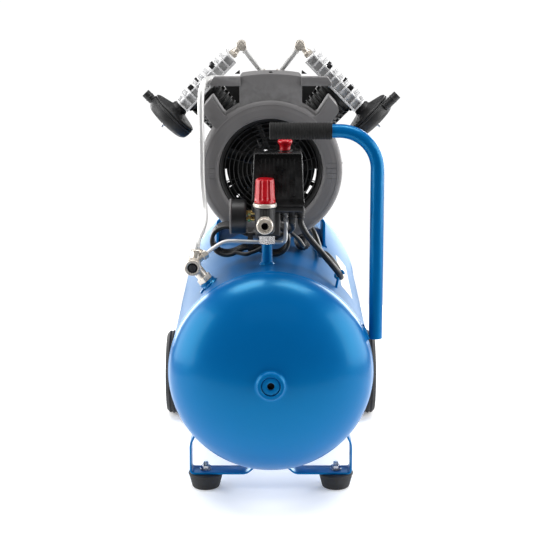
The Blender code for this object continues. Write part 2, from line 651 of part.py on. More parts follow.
DISCHARGE_ROUTE = [(-0.1100, -0.2320, 0.3752), (-0.1100, -0.2320, 0.3800), (-0.1085, -0.2240, 0.3890),
                   (-0.1030, -0.2050, 0.4010), (-0.1002, -0.1900, 0.4135), (-0.1015, -0.1750, 0.4317),
                   (-0.1048, -0.1620, 0.4680), (-0.1053, -0.1580, 0.5134), (-0.1057, -0.1570, 0.5589),
                   (-0.1052, -0.1540, 0.5949), (-0.1022, -0.1420, 0.6100), (-0.0965, -0.1260, 0.6160),
                   (-0.0875, -0.1100, 0.6170), (-0.0740, -0.0930, 0.6150), (-0.0600, -0.0740, 0.6120),
                   (-0.0430, -0.0540, 0.6105), (-0.0290, -0.0340, 0.6110), (-0.0210, -0.0300, 0.6110),
                   (-0.0164, -0.0300, 0.6110)]


def discharge_pipe():
    """The delivery tube from the tee, over the left arm of the cowl and down to the check valve."""
    pipe("discharge_pipe", smooth_route(DISCHARGE_ROUTE, 0.018), 0.0050, "pipe_alu")


def check_valve():
    """The corner valve on the tank's left port: hexagon cap, inlet nut on top and a side stub."""
    radial = Vector((PORT_X, 0, tank_height(PORT_X) - TANK_AXIS_Z)).normalized()
    port = Vector((PORT_X, PORT_Y, tank_height(PORT_X)))
    middle = port + radial * VALVE_REACH
    body = rod("check_valve", port - radial * 0.008, middle + radial * 0.004, 0.0085, "nickel_brass", sides=16)
    flange = port + radial * (0.0065 + GAP)
    join(body, rod("hexagon", flange, flange + radial * 0.008, 0.0120, "nickel_brass", sides=6),
         rod("barrel", middle - Y_AXIS * 0.018, middle + Y_AXIS * 0.014, 0.0115, "nickel_brass", sides=20),
         rod("cap", middle - Y_AXIS * 0.026, middle - Y_AXIS * 0.017, 0.0130, "nickel_brass", sides=6))
    inlet = Vector(DISCHARGE_ROUTE[0])
    join(body, rod("inlet", middle, inlet - Z_AXIS * 0.0030, 0.0070, "nickel_brass", sides=16),
         rod("inlet_nut", inlet - Z_AXIS * 0.0080, inlet - Z_AXIS * GAP, 0.0085, "nickel_brass", sides=6))
    stub = Vector(UNLOADER_ROUTE[-1])
    way = (stub - Vector(UNLOADER_ROUTE[-2])).normalized()
    join(body, rod("stub", middle, stub + way * 0.004, 0.0050, "nickel_brass", sides=12),
         rod("stub_nut", stub + way * 0.009, stub + way * GAP, 0.0070, "nickel_brass", sides=6))


UNLOADER_ROUTE = [(0.0223, -0.2280, 0.4155), (0.0223, -0.2280, 0.3925), (0.0205, -0.2270, 0.3860),
                  (0.0150, -0.2225, 0.3836), (-0.0055, -0.2203, 0.3834), (-0.0300, -0.2205, 0.3838),
                  (-0.0595, -0.2210, 0.3848), (-0.0715, -0.2235, 0.3833), (-0.0833, -0.2280, 0.3773),
                  (-0.0951, -0.2340, 0.3694)]


def unloader_pipe():
    """The thin tube that vents the delivery line through the switch when it stops."""
    pipe("unloader_pipe", UNLOADER_ROUTE, 0.0030, "pipe_alu")


# ---- motor --------------------------------------------------------------------------------------


def motor():
    """The stator housing on its feet, an end bell over its rear, and the capacitor box on top."""
    depth = MOTOR_BACK - MOTOR_FRONT
    profile = [(0.036, depth), (0.050, depth), (MOTOR_RADIUS, depth - 0.006), (MOTOR_RADIUS, 0.0),
               (0.036, 0.0)]
    shell = turned("motor_shell", profile, "black_paint", at=(0, MOTOR_FRONT, CRANK_Z), axis=Y_AXIS, steps=24,
                   ring=True)
    for side in (-1, 1):
        low = min(side * 0.030, side * 0.058)
        high = max(side * 0.030, side * 0.058)
        join(shell, block("foot", (low, 0.060, DECK_Z + GAP), (high, 0.160, 0.440), "black_paint"))
    cut(shell, rod("rotor_room", (0, 0.0, CRANK_Z), (0, 0.3, CRANK_Z), 0.0362, "black_paint", sides=20))
    bell = [(0.0, 0.0260), (0.030, 0.0260), (0.052, 0.0180), (0.0560, 0.0), (0.0520, 0.0), (0.0480, 0.0150),
            (0.028, 0.0225), (0.0, 0.0225)]
    back = turned("motor_end_bell", [(0.0, 0.0320)] + bell[1:4] + bell[4:7] + [(0.0, 0.0285)], "black_plastic",
                  at=(0, MOTOR_BACK + GAP, CRANK_Z), axis=Y_AXIS, steps=20)
    for i in range(6):
        turn = Matrix.Rotation(math.radians(60 * i + 30), 4, "Y")
        slot = block("slot", (-0.004, MOTOR_BACK + 0.010, 0.020), (0.004, MOTOR_BACK + 0.050, 0.043),
                     "black_plastic")
        slot.matrix_world = Matrix.Translation((0, 0, CRANK_Z)) @ turn @ slot.matrix_basis
        cut(back, slot)
    top = CRANK_Z + MOTOR_RADIUS
    block("capacitor_box", (-0.024, 0.062, top + GAP), (0.024, 0.165, top + 0.036), "black_plastic", bevel=0.004)


# ---- switch, regulator, gauge and coupler -------------------------------------------------------


def riser():
    """The pipe that carries the switch, let into the tank's top."""
    body = rod("riser_pipe", (RISER_X, RISER_Y, 0.3490), (RISER_X, RISER_Y, 0.3960), 0.0078, "tank_blue",
               sides=20)
    cut(body, rod("bore", (RISER_X, RISER_Y, 0.34), (RISER_X, RISER_Y, 0.42), 0.0055, "tank_blue", sides=16))


def manifold():
    """The switch's cast foot: hexagon over the riser, outlet block, relief valve and unloader nut."""
    foot = block("manifold_block", (-0.0225, -0.2645, 0.3996), (0.0140, -0.2140, SWITCH_FLOOR_Z - GAP),
                 "black_paint", bevel=0.003)
    join(foot, rod("hexagon", (RISER_X, RISER_Y, 0.3850), (RISER_X, RISER_Y, 0.4010), 0.0133, "steel", sides=6),
         rod("unloader_nut", (0.0223, -0.2280, 0.4158), (0.0223, -0.2280, 0.4340), 0.0070, "steel", sides=6),
         block("unloader_arm", (0.010, -0.236, 0.4300), (0.030, -0.220, SWITCH_FLOOR_Z - GAP), "black_paint"),
         rod("relief_valve", (RISER_X, -0.2160, 0.4190), (RISER_X, -0.1980, 0.4190), 0.0060, "brass", sides=12))
    cut(foot, rod("riser_hole", (RISER_X, RISER_Y, 0.38), (RISER_X, RISER_Y, 0.3965), 0.0078 + GAP, "steel",
                  sides=20),
        rod("relief_bore", (RISER_X, -0.2100, 0.4190), (RISER_X, -0.1900, 0.4190), 0.0026, "brass", sides=12))


def relief_ring():
    """The pull ring of the relief valve, on its stem."""
    stem = rod("relief_ring", (RISER_X, -0.2080, 0.4190), (RISER_X, -0.1900, 0.4190), 0.0016, "steel", sides=10)
    hoop = turned("hoop", [(0.0085, 0.0010), (0.0085, -0.0010), (0.0065, -0.0010), (0.0065, 0.0010)], "steel",
                  at=(RISER_X, -0.1825, 0.4190), axis=X_AXIS, steps=20, ring=True)
    join(stem, hoop)


def switch():
    """The pressure switch: a base with two cable glands, a ribbed cover and the red knob on top."""
    low, high = SWITCH_FLOOR_Z, 0.4457
    base = block("switch_base", (SWITCH_X - 0.0385, SWITCH_Y - 0.029, low), (SWITCH_X + 0.0385, SWITCH_Y + 0.029,
                                                                            high), "black_plastic", bevel=0.002)
    for x in (0.0440, 0.0310):
        join(base, rod("gland", (x, -0.2450, 0.4240), (x, -0.2450, low + 0.002), 0.0062, "black_plastic", sides=12))
    cover = flat("switch_cover", [(-0.0385, high + GAP), (0.0385, high + GAP), (0.0350, 0.5240), (-0.0350, 0.5240)],
                 0.060, "black_plastic", at=(SWITCH_X, SWITCH_Y, 0))
    cover = as_mesh(cover)
    edge = cover.modifiers.new("rounded edges", "BEVEL")
    edge.width = 0.003
    edge.segments = 2
    edge.limit_method = "ANGLE"
    cut(cover, rod("knob_hole", (SWITCH_X + 0.0105, SWITCH_Y + 0.002, 0.500),
                   (SWITCH_X + 0.0105, SWITCH_Y + 0.002, 0.530), 0.0084, "black_plastic", sides=20))
    turned("switch_knob", [(0, 0.0400), (0.0105, 0.0400), (0.0110, 0.0385), (0.0105, 0.0350), (0.0078, 0.0320),
                           (0.0075, 0.0060), (0, 0.0060)], "red_plastic",
           at=(SWITCH_X + 0.0105, SWITCH_Y + 0.002, 0.500), steps=20)


def regulator():
    """The pressure regulator in front of the manifold: body with collar, and a fluted red knob."""
    x, y = REGULATOR_X, REGULATOR_Y
    body = turned("regulator_body", [(0, 0.4544), (0.0165, 0.4544), (0.0172, 0.4535), (0.0172, 0.4490),
                                     (0.0148, 0.4478), (0.0148, 0.4150), (0.0120, 0.4100), (0, 0.4100)],
                  "black_paint", at=(x, y, 0), steps=24)
    join(body, block("link", (x - 0.009, y + 0.008, 0.4150), (x + 0.009, -0.2645 - GAP, 0.4360), "black_paint"),
         rod("outlet", (x, y, COUPLER_Z), (x, COUPLER_Y, COUPLER_Z), 0.0085, "black_paint", sides=16))
    knob = turned("regulator_knob", [(0, 0.4900), (0.0120, 0.4900), (0.0135, 0.4885), (0.0150, 0.4560),
                                     (0.0150, 0.4547), (0, 0.4547)], "red_plastic", at=(x, y, 0), steps=24)
    flutes = 8
    for i in range(flutes):
        turn = 2 * math.pi * (i + 0.5) / flutes
        spot = Vector((x + 0.0165 * math.cos(turn), y + 0.0165 * math.sin(turn), 0))
        cut(knob, rod("flute", spot + Z_AXIS * 0.4600, spot + Z_AXIS * 0.500, 0.0030, "red_plastic", sides=8))


def coupler():
    """The quick coupler on the regulator's outlet: a bored body with a sleeve that slides back."""
    x, z = REGULATOR_X, COUPLER_Z
    body = turned("coupler_body", [(0.0052, 0.0275), (0.0078, 0.0275), (0.0078, 0.0060), (0.0098, 0.0060),
                                   (0.0098, 0), (0.0052, 0)], "nickel_brass",
                  at=(x, COUPLER_Y - GAP, z), axis=-Y_AXIS, steps=20, ring=True)
    sleeve = turned("coupler_sleeve", [(0.0078 + GAP, 0.0290), (0.0112, 0.0290), (0.0118, 0.0275),
                                       (0.0118, 0.0150), (0.0106, 0.0140), (0.0106, 0.0105), (0.0078 + GAP, 0.0105)],
                    "nickel_brass", at=(x, COUPLER_Y - GAP, z), axis=-Y_AXIS, steps=20, ring=True)
    return body, sleeve


def gauge():
    """The pressure gauge: a drum that faces left, on a brass stem, with a needle over its dial."""
    face = -0.0605
    back = -0.0360
    profile = [(0.0235, -face), (GAUGE_RADIUS, -face), (GAUGE_RADIUS, -back), (0, -back), (0, -face - 0.0060),
               (0.0235, -face - 0.0060)]
    case = turned("gauge_case", profile + [profile[0]], "black_plastic", at=(0, -0.2500, GAUGE_Z), axis=-X_AXIS,
                  steps=28)
    join(case, rod("stem", (back - 0.002, -0.2500, 0.4240), (-0.0225 - GAP, -0.2500, 0.4240), 0.0050, "brass",
                   sides=12))
    needle = rod("gauge_needle", (face + 0.0030, -0.2500, GAUGE_Z), (face + 0.0055, -0.2500, GAUGE_Z), 0.0025,
                 "red_plastic", sides=12)
    arm = block("arm", (face + 0.0036, -0.2506, GAUGE_Z - 0.005), (face + 0.0046, -0.2494, GAUGE_Z + 0.018),
                "red_plastic")
    arm.matrix_world = (Matrix.Translation((0, -0.2500, GAUGE_Z)) @ Matrix.Rotation(math.radians(-135), 4, "X")
                        @ Matrix.Translation((0, 0.2500, -GAUGE_Z)) @ arm.matrix_basis)
    join(needle, arm)


# ---- cables -------------------------------------------------------------------------------------

MOTOR_LEAD_ROUTE = [(0.0440, -0.2450, 0.4237), (0.0440, -0.2450, 0.4180), (0.0490, -0.2450, 0.4060),
                    (0.0600, -0.2440, 0.3900), (0.0745, -0.2430, 0.3727), (0.0900, -0.2420, 0.3540),
                    (0.1010, -0.2390, 0.3400), (0.1050, -0.2310, 0.3320), (0.1040, -0.2210, 0.3340),
                    (0.0990, -0.2080, 0.3430), (0.0890, -0.1920, 0.3540), (0.0820, -0.1720, 0.3560),
                    (0.0790, -0.1450, 0.3480), (0.0780, -0.1000, 0.3410), (0.0770, -0.0400, 0.3420),
                    (0.0710, 0.0000, 0.3540), (0.0580, 0.0200, 0.3740), (0.0460, 0.0250, 0.3960),
                    (0.0440, 0.0250, 0.4100), (0.0440, 0.0250, 0.4160)]


def motor_lead():
    """The motor's cable: from the switch, under the hook on the tank, and back under the cowl."""
    pipe("motor_lead", smooth_route(MOTOR_LEAD_ROUTE, 0.022), 0.0045, "rubber_black")


MAINS_RADIUS = 0.0032
MAINS_LEAD_ROUTE = [(0.0310, -0.2450, 0.4237), (0.0310, -0.2450, 0.4190), (0.0330, -0.2340, 0.4080),
                    (0.0260, -0.2160, 0.3980), (0.0100, -0.2110, 0.3890), (-0.0060, -0.2105, 0.3770),
                    (-0.0220, -0.2102, 0.3680), (-0.0380, -0.2100, 0.3630), (-0.0500, -0.2098, 0.3605)]
HANK_LOW = (-0.0920, -0.2060, 0.3565)
HANK_HIGH = (0.0300, -0.1630, 0.4055)
PLUG_X = 0.0500
PLUG_Z = 0.3614


def mains_lead():
    """The mains cord from the switch's second gland to the hank."""
    pipe("mains_lead", smooth_route(MAINS_LEAD_ROUTE, 0.016), MAINS_RADIUS, "rubber_black")


def mains_hank():
    """The outer shape of the rest of the cord, folded into a tied hank on top of the tank."""
    radius = (HANK_HIGH[2] - HANK_LOW[2]) / 2
    middle_z = (HANK_HIGH[2] + HANK_LOW[2]) / 2
    right = arc(HANK_HIGH[0] - radius, middle_z, radius, -90, 90, 8)
    left = arc(HANK_LOW[0] + radius, middle_z, radius, 90, 270, 8)
    flat("mains_hank", right + left, HANK_HIGH[1] - HANK_LOW[1], "rubber_black",
         at=(0, (HANK_HIGH[1] + HANK_LOW[1]) / 2, 0), along=-Y_AXIS)


def mains_plug():
    """A round two-pin plug with a tapered strain relief, lying under the cowl."""
    start, body, face = -0.1380, -0.1200, -0.0860
    plug = rod("mains_plug", (PLUG_X, body, PLUG_Z), (PLUG_X, face, PLUG_Z), 0.0138, "black_plastic", sides=20)
    join(plug, rod("relief", (PLUG_X, start, PLUG_Z), (PLUG_X, body + 0.002, PLUG_Z), 0.0045, "black_plastic",
                   sides=12, end_radius=0.0080))
    for side in (-1, 1):
        x = PLUG_X + side * 0.0075
        join(plug, rod("pin", (x, face - 0.002, PLUG_Z), (x, face + 0.0170, PLUG_Z), 0.0024, "steel", sides=8))


TAIL_ROUTE = [(0.0318, -0.1660, 0.3890), (0.0395, -0.1600, 0.3790), (0.0470, -0.1520, 0.3680),
              (0.0500, -0.1440, 0.3620), (0.0500, -0.1383, 0.3614)]


def mains_tail():
    """The short stretch of cord from the hank to the plug."""
    pipe("mains_tail", smooth_route(TAIL_ROUTE, 0.012), MAINS_RADIUS, "rubber_black")


# ---- assembly -----------------------------------------------------------------------------------

tank()
end_plug("front_plug", -1)
end_plug("rear_plug", 1)
drain_valve()
wheels()
feet()
handle()
pump_bracket()
shroud()
fan_guard()
fan()
crankshaft()
crankcase()
for bank, bank_side in SIDES:
    cylinder(bank, bank_side)
    piston(bank, bank_side)
    head(bank, bank_side)
    filter_base(bank, bank_side)
    head_elbow(bank, bank_side)
filter_cover("left", -1, 0, 0.0370)
filter_cover("right", 1, -0.0260, 0.0280)
link_pipe()
discharge_pipe()
check_valve()
unloader_pipe()
motor()
riser()
manifold()
relief_ring()
switch()
regulator()
coupler()
gauge()
motor_lead()
mains_lead()
mains_hank()
mains_tail()
mains_plug()
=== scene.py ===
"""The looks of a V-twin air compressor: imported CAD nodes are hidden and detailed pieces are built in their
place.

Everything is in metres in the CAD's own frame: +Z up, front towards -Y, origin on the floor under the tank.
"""

import json
from math import acos, asin, cos, pi, radians, sin, sqrt

import bmesh
import bpy
from mathutils import Matrix, Vector, noise


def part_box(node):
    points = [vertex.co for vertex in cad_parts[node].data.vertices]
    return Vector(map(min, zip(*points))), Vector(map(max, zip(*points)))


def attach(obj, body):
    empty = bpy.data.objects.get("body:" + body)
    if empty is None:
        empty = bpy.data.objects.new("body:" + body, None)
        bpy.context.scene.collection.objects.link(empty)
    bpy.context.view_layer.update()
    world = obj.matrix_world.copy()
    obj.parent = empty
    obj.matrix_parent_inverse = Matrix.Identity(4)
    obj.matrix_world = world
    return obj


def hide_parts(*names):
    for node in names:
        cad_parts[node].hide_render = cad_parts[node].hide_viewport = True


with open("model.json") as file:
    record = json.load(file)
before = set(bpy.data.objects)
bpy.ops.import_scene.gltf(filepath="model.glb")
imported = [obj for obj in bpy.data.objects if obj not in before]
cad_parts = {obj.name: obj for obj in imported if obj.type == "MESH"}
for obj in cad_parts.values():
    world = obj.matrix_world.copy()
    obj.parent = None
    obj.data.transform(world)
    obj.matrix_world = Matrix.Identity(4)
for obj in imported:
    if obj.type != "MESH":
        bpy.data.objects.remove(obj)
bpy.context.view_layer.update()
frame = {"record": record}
BODY_OF = {node: body for body, nodes in frame["record"]["behaviour"]["bodies"].items() for node in nodes}

X_AXIS = Vector((1, 0, 0))
Y_AXIS = Vector((0, 1, 0))
Z_AXIS = Vector((0, 0, 1))
SIDES = (("left", -1), ("right", 1))
GAP = 0.0003


def middle(node):
    low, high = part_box(node)
    return (low + high) / 2


TANK_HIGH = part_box("tank_shell")[1]
TANK_AXIS_Z = middle("front_plug").z
TANK_RADIUS = TANK_HIGH.x
TANK_HALF_SHELL = 0.3
DOME_DEPTH = 0.075
CRANK_Z = middle("crankshaft").z
CYLINDER_Y = middle("head_left").y
HEAD_AXIS = 0.1617


# ---- modelling helpers --------------------------------------------------------------------------


def evaluated_mesh(obj):
    bpy.context.view_layer.update()
    graph = bpy.context.evaluated_depsgraph_get()
    return bpy.data.meshes.new_from_object(obj.evaluated_get(graph), depsgraph=graph)


def remove(obj):
    data = obj.data
    bpy.data.objects.remove(obj)
    if isinstance(data, bpy.types.Mesh):
        bpy.data.meshes.remove(data)
    else:
        bpy.data.curves.remove(data)


def placed(name, data):
    """A new object in the scene that holds this data."""
    obj = bpy.data.objects.new(name, data)
    bpy.context.scene.collection.objects.link(obj)
    return obj


def applied(obj, sharp=32):
    """The object as a plain mesh in the row frame, its modifiers applied and its sharp edges marked."""
    mesh = evaluated_mesh(obj)
    mesh.transform(obj.matrix_world)
    name = obj.name
    remove(obj)
    result = placed(name, mesh)
    mesh.shade_smooth()
    mesh.set_sharp_from_angle(angle=radians(sharp))
    return result


def from_form(name, form, material, sharp=32):
    """A new object from a bmesh, shaded smooth between its sharp edges."""
    bmesh.ops.recalc_face_normals(form, faces=form.faces)
    mesh = bpy.data.meshes.new(name)
    form.to_mesh(mesh)
    form.free()
    mesh.materials.append(material)
    mesh.shade_smooth()
    mesh.set_sharp_from_angle(angle=radians(sharp))
    return placed(name, mesh)


def aimed(at, axis, up=None):
    """A matrix whose own Z points along the axis, and its Y as near the way up as it can."""
    out = Vector(axis).normalized()
    if up is None:
        turn = out.to_track_quat("Z", "Y").to_matrix().to_4x4()
    else:
        rise = Vector(up).normalized()
        turn = Matrix((rise.cross(out), rise, out)).transposed().to_4x4()
    return Matrix.Translation(at) @ turn


def rounded(points, radius, steps=3, closed=False):
    """The same outline with each corner rounded, or left sharp where its edges are too short."""
    found = []
    count = len(points)
    for i, point in enumerate(points):
        here = Vector(point)
        if not closed and i in (0, count - 1):
            found.append(tuple(here))
            continue
        back = Vector(points[i - 1]) - here
        ahead = Vector(points[(i + 1) % count]) - here
        reach = min(radius, 0.45 * back.length, 0.45 * ahead.length)
        if reach < 0.00002:
            found.append(tuple(here))
            continue
        start = here + back.normalized() * reach
        end = here + ahead.normalized() * reach
        for step in range(steps + 1):
            t = step / steps
            found.append(tuple(start * (1 - t) ** 2 + here * (2 * t * (1 - t)) + end * t ** 2))
    return found


def lathe(material, profile, at=(0, 0, 0), axis=Z_AXIS, steps=64, soft=0.0005, closed=False, up=None,
        name="lathe"):
    """A profile of (radius, height) points, its corners rounded, turned about the axis."""
    line = rounded(profile, soft, closed=closed) if soft else profile
    form = bmesh.new()
    rings = []
    for radius, height in line:
        if radius < 0.00001:
            rings.append([form.verts.new((0, 0, height))] * steps)
        else:
            rings.append([form.verts.new((radius * cos(2 * pi * i / steps), radius * sin(2 * pi * i / steps),
                height)) for i in range(steps)])
    pairs = list(zip(rings, rings[1:]))
    if closed:
        pairs.append((rings[-1], rings[0]))
    for first, second in pairs:
        for i in range(steps):
            j = (i + 1) % steps
            corners = []
            for corner in (first[i], first[j], second[j], second[i]):
                if corner not in corners:
                    corners.append(corner)
            if len(corners) > 2:
                form.faces.new(corners)
    bmesh.ops.transform(form, matrix=aimed(at, axis, up), verts=form.verts)
    return from_form(name, form, material)


def rod(material, start, end, radius, steps=32, soft=0.0004):
    """A round bar between two points, with softened end edges."""
    start, end = Vector(start), Vector(end)
    length = (end - start).length
    return lathe(material, [(0, 0), (radius, 0), (radius, length), (0, length)], at=start, axis=end - start,
        steps=steps, soft=min(soft, 0.3 * radius, 0.3 * length), name="rod")


def hexagon(material, start, end, radius, up=None, bore=0.0):
    """A hexagonal nut body between two points, its corners chamfered; the radius is to the corners."""
    start, end = Vector(start), Vector(end)
    length = (end - start).length
    chamfer = min(0.001, 0.25 * length)
    profile = [(bore, 0), (radius - chamfer, 0), (radius, chamfer * 0.6), (radius, length - chamfer * 0.6),
        (radius - chamfer, length), (bore, length)]
    return lathe(material, profile, at=start, axis=end - start, steps=6, soft=0.0, up=up, name="hexagon")


def close_prism(form, low, high):
    """Both ends and the sides between two outlines of the same count."""
    form.faces.new(low)
    form.faces.new(high)
    for i in range(len(low)):
        j = (i + 1) % len(low)
        form.faces.new((low[i], low[j], high[j], high[i]))


def slab(material, outline, thickness, at=(0, 0, 0), along=Y_AXIS, up=Z_AXIS, bevel=0.0006, segments=2):
    """A flat outline extruded equally both ways along a direction; its own Y is the way up."""
    form = bmesh.new()
    low = [form.verts.new((x, y, -thickness / 2)) for x, y in outline]
    high = [form.verts.new((x, y, thickness / 2)) for x, y in outline]
    close_prism(form, low, high)
    bmesh.ops.transform(form, matrix=aimed(at, along, up), verts=form.verts)
    obj = from_form("slab", form, material)
    return softened(obj, bevel, segments)


def softened(obj, bevel, segments=2):
    """The object with its edges rounded, wherever its faces turn by more than 35 degrees."""
    if not bevel:
        return obj
    edge = obj.modifiers.new("rounded edges", "BEVEL")
    edge.width = bevel
    edge.segments = segments
    edge.limit_method = "ANGLE"
    edge.angle_limit = radians(35)
    edge.harden_normals = False
    return applied(obj)


def block(material, low, high, bevel=0.0006, segments=2):
    """A box between two corners with rounded edges."""
    low, high = Vector(low), Vector(high)
    form = bmesh.new()
    bmesh.ops.create_cube(form, size=1.0)
    bmesh.ops.scale(form, vec=high - low, verts=form.verts)
    bmesh.ops.translate(form, vec=(low + high) / 2, verts=form.verts)
    return softened(from_form("block", form, material), bevel, segments)


def moved(obj, matrix):
    obj.data.transform(matrix)
    return obj


def spun(obj, at, angle, about):
    """The object turned about an axis through the origin, then moved there."""
    return moved(obj, Matrix.Translation(at) @ Matrix.Rotation(angle, 4, about))


def curve_line(name, material, points, radius, radii=None, resolution=6):
    """A round line through close points, with closed ends; radii scales it at each point."""
    curve = bpy.data.curves.new(name, "CURVE")
    curve.dimensions = "3D"
    line = curve.splines.new("POLY")
    line.points.add(len(points) - 1)
    for i, (spot, point) in enumerate(zip(line.points, points)):
        spot.co = (*point, 1.0)
        if radii:
            spot.radius = radii[i]
    curve.bevel_depth = radius
    curve.bevel_resolution = resolution
    curve.use_fill_caps = True
    curve.materials.append(material)
    return placed(name, curve)


def tube(material, points, radius, radii=None, resolution=6):
    return applied(curve_line("tube", material, points, radius, radii, resolution), sharp=50)


def smooth_route(points, spacing):
    """Points read at an even spacing from a smooth curve through the route's own points."""
    route = [Vector(point) for point in points]
    ends = [2 * route[0] - route[1]] + route + [2 * route[-1] - route[-2]]
    found = [route[0]]
    for before, start, end, after in zip(ends, ends[1:], ends[2:], ends[3:]):
        steps = max(1, round((end - start).length / spacing))
        for step in range(1, steps + 1):
            t = step / steps
            squared = (2 * before - 5 * start + 4 * end - after) * t * t
            cubed = (3 * start - before - 3 * end + after) * t * t * t
            found.append(0.5 * ((2 * start) + (end - before) * t + squared + cubed))
    return found


def carved(target, *cutters):
    """The target with every cutter taken out of it."""
    for cutter in cutters:
        change = target.modifiers.new("boolean", "BOOLEAN")
        change.operation = "DIFFERENCE"
        change.object = cutter
        change.solver = "EXACT"
        target = applied(target)
        remove(cutter)
    return target


def united(shapes):
    """Joins the shapes into the first of them."""
    with bpy.context.temp_override(active_object=shapes[0], object=shapes[0], selected_objects=shapes,
            selected_editable_objects=shapes):
        bpy.ops.object.join()
    return shapes[0]


def piece(name, nodes, slot, *shapes):
    """Joins shapes into one piece that stands for CAD nodes and moves with their body."""
    first = united(list(shapes)) if len(shapes) > 1 else shapes[0]
    first.name = name
    first.data.name = name
    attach(first, BODY_OF[nodes[0]])
    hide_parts(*nodes)
    return first


def bank_point(side, out, across, y):
    """A point of one cylinder bank: its distance out from the crank, across the bank, and its Y."""
    slope = sqrt(0.5)
    return Vector((side * slope * (out + across), y, CRANK_Z + slope * (out - across)))


def bank_axis(side):
    return Vector((side, 0, 1)).normalized()


def bank_across(side):
    return Vector((side, 0, -1)).normalized()


def tank_height(x):
    return TANK_AXIS_Z + sqrt(TANK_RADIUS ** 2 - x ** 2)


# ---- materials ----------------------------------------------------------------------------------


class Nodes:
    """A new material's nodes, with short calls to add and link them."""

    def __init__(self, name):
        self.material = bpy.data.materials.new(name)
        self.material.use_nodes = True
        self.tree = self.material.node_tree
        self.shader = self.tree.nodes["Principled BSDF"]
        self.place = self.add("ShaderNodeTexCoord").outputs["Object"]

    def add(self, kind, **settings):
        node = self.tree.nodes.new(kind)
        for key, value in settings.items():
            setattr(node, key, value)
        return node

    def link(self, source, target):
        self.tree.links.new(source, target)

    def noise(self, scale, detail=4.0, rough=0.55, vector=None):
        node = self.add("ShaderNodeTexNoise")
        node.inputs["Scale"].default_value = scale
        node.inputs["Detail"].default_value = detail
        node.inputs["Roughness"].default_value = rough
        self.link(vector or self.place, node.inputs["Vector"])
        return node.outputs["Fac"]

    def stretched(self, scale):
        """Coordinates scaled by a different number along each axis."""
        node = self.add("ShaderNodeMapping")
        node.inputs["Scale"].default_value = scale
        self.link(self.place, node.inputs["Vector"])
        return node.outputs["Vector"]

    def remap(self, value, low, high, from_low=0.3, from_high=0.7):
        node = self.add("ShaderNodeMapRange")
        node.inputs["From Min"].default_value = from_low
        node.inputs["From Max"].default_value = from_high
        node.inputs["To Min"].default_value = low
        node.inputs["To Max"].default_value = high
        self.link(value, node.inputs["Value"])
        return node.outputs["Result"]

    def math(self, operation, first, second):
        node = self.add("ShaderNodeMath", operation=operation)
        for socket, value in zip(node.inputs, (first, second)):
            if isinstance(value, (int, float)):
                socket.default_value = value
            else:
                self.link(value, socket)
        return node.outputs["Value"]

    def mix(self, factor, first, second):
        node = self.add("ShaderNodeMix", data_type="RGBA")
        if isinstance(factor, (int, float)):
            node.inputs[0].default_value = factor
        else:
            self.link(factor, node.inputs[0])
        for socket, value in ((node.inputs[6], first), (node.inputs[7], second)):
            if isinstance(value, tuple):
                socket.default_value = (*value, 1.0)
            else:
                self.link(value, socket)
        return node.outputs[2]

    def bump(self, height, distance, after=None):
        node = self.add("ShaderNodeBump")
        node.inputs["Distance"].default_value = distance
        self.link(height, node.inputs["Height"])
        if after:
            self.link(after, node.inputs["Normal"])
        return node.outputs["Normal"]

    def edges(self):
        """How much this spot is an outer edge, from 0 to 1."""
        geometry = self.add("ShaderNodeNewGeometry")
        return self.remap(geometry.outputs["Pointiness"], 0.0, 1.0, 0.52, 0.6)


def scaled(colour, factor):
    return tuple(min(1.0, part * factor) for part in colour)


def grey(level):
    return level, level, level


def surface(name, colour, roughness, metallic=0.0, shift=0.12, spread=0.1, patch=22.0, grain=1400.0,
        bump=0.00002, coat=0.0, coat_roughness=0.05, wear=None, wear_amount=0.5, strokes=None):
    """A procedural finish: patchy colour, uneven gloss, a fine grain, and lighter worn edges if asked."""
    nodes = Nodes(name)
    shader = nodes.shader
    large = nodes.noise(patch, detail=5.0)
    fine = nodes.noise(grain, detail=3.0)
    base = nodes.mix(nodes.remap(large, 0.0, 1.0), scaled(colour, 1 - shift), scaled(colour, 1 + shift))
    if wear:
        worn = nodes.math("MULTIPLY", nodes.edges(), nodes.remap(nodes.noise(patch * 6), 0.0, wear_amount))
        base = nodes.mix(worn, base, wear)
    nodes.link(base, shader.inputs["Base Color"])
    uneven = nodes.noise(patch * 3.5, detail=6.0, rough=0.65)
    gloss = nodes.remap(uneven, roughness - spread / 2, roughness + spread / 2)
    height = fine
    if strokes:
        lines = nodes.noise(1.0, detail=2.0, vector=nodes.stretched(strokes))
        gloss = nodes.math("ADD", gloss, nodes.remap(lines, -spread / 2, spread / 2))
        height = nodes.math("ADD", fine, lines)
    nodes.link(gloss, shader.inputs["Roughness"])
    nodes.link(nodes.bump(height, bump), shader.inputs["Normal"])
    shader.inputs["Metallic"].default_value = metallic
    shader.inputs["Coat Weight"].default_value = coat
    shader.inputs["Coat Roughness"].default_value = coat_roughness
    return nodes


def blue_paint():
    """Glossy blue enamel: orange peel under a clear coat, with a little unevenness in the blue."""
    nodes = surface("blue_enamel", (0.0, 0.11, 0.345), 0.3, shift=0.03, spread=0.015, patch=9.0, grain=900.0,
        bump=0.000012, coat=0.1, coat_roughness=0.12)
    nodes.shader.inputs["Specular IOR Level"].default_value = 0.85
    nodes.shader.inputs["Specular Tint"].default_value = (0.03, 0.65, 1.0, 1.0)
    peel = nodes.noise(260.0, detail=2.0)
    dents = nodes.noise(30.0, detail=1.0)
    first = nodes.bump(dents, 0.00018)
    second = nodes.bump(peel, 0.00004, after=first)
    nodes.link(second, nodes.shader.inputs["Normal"])
    return nodes.material


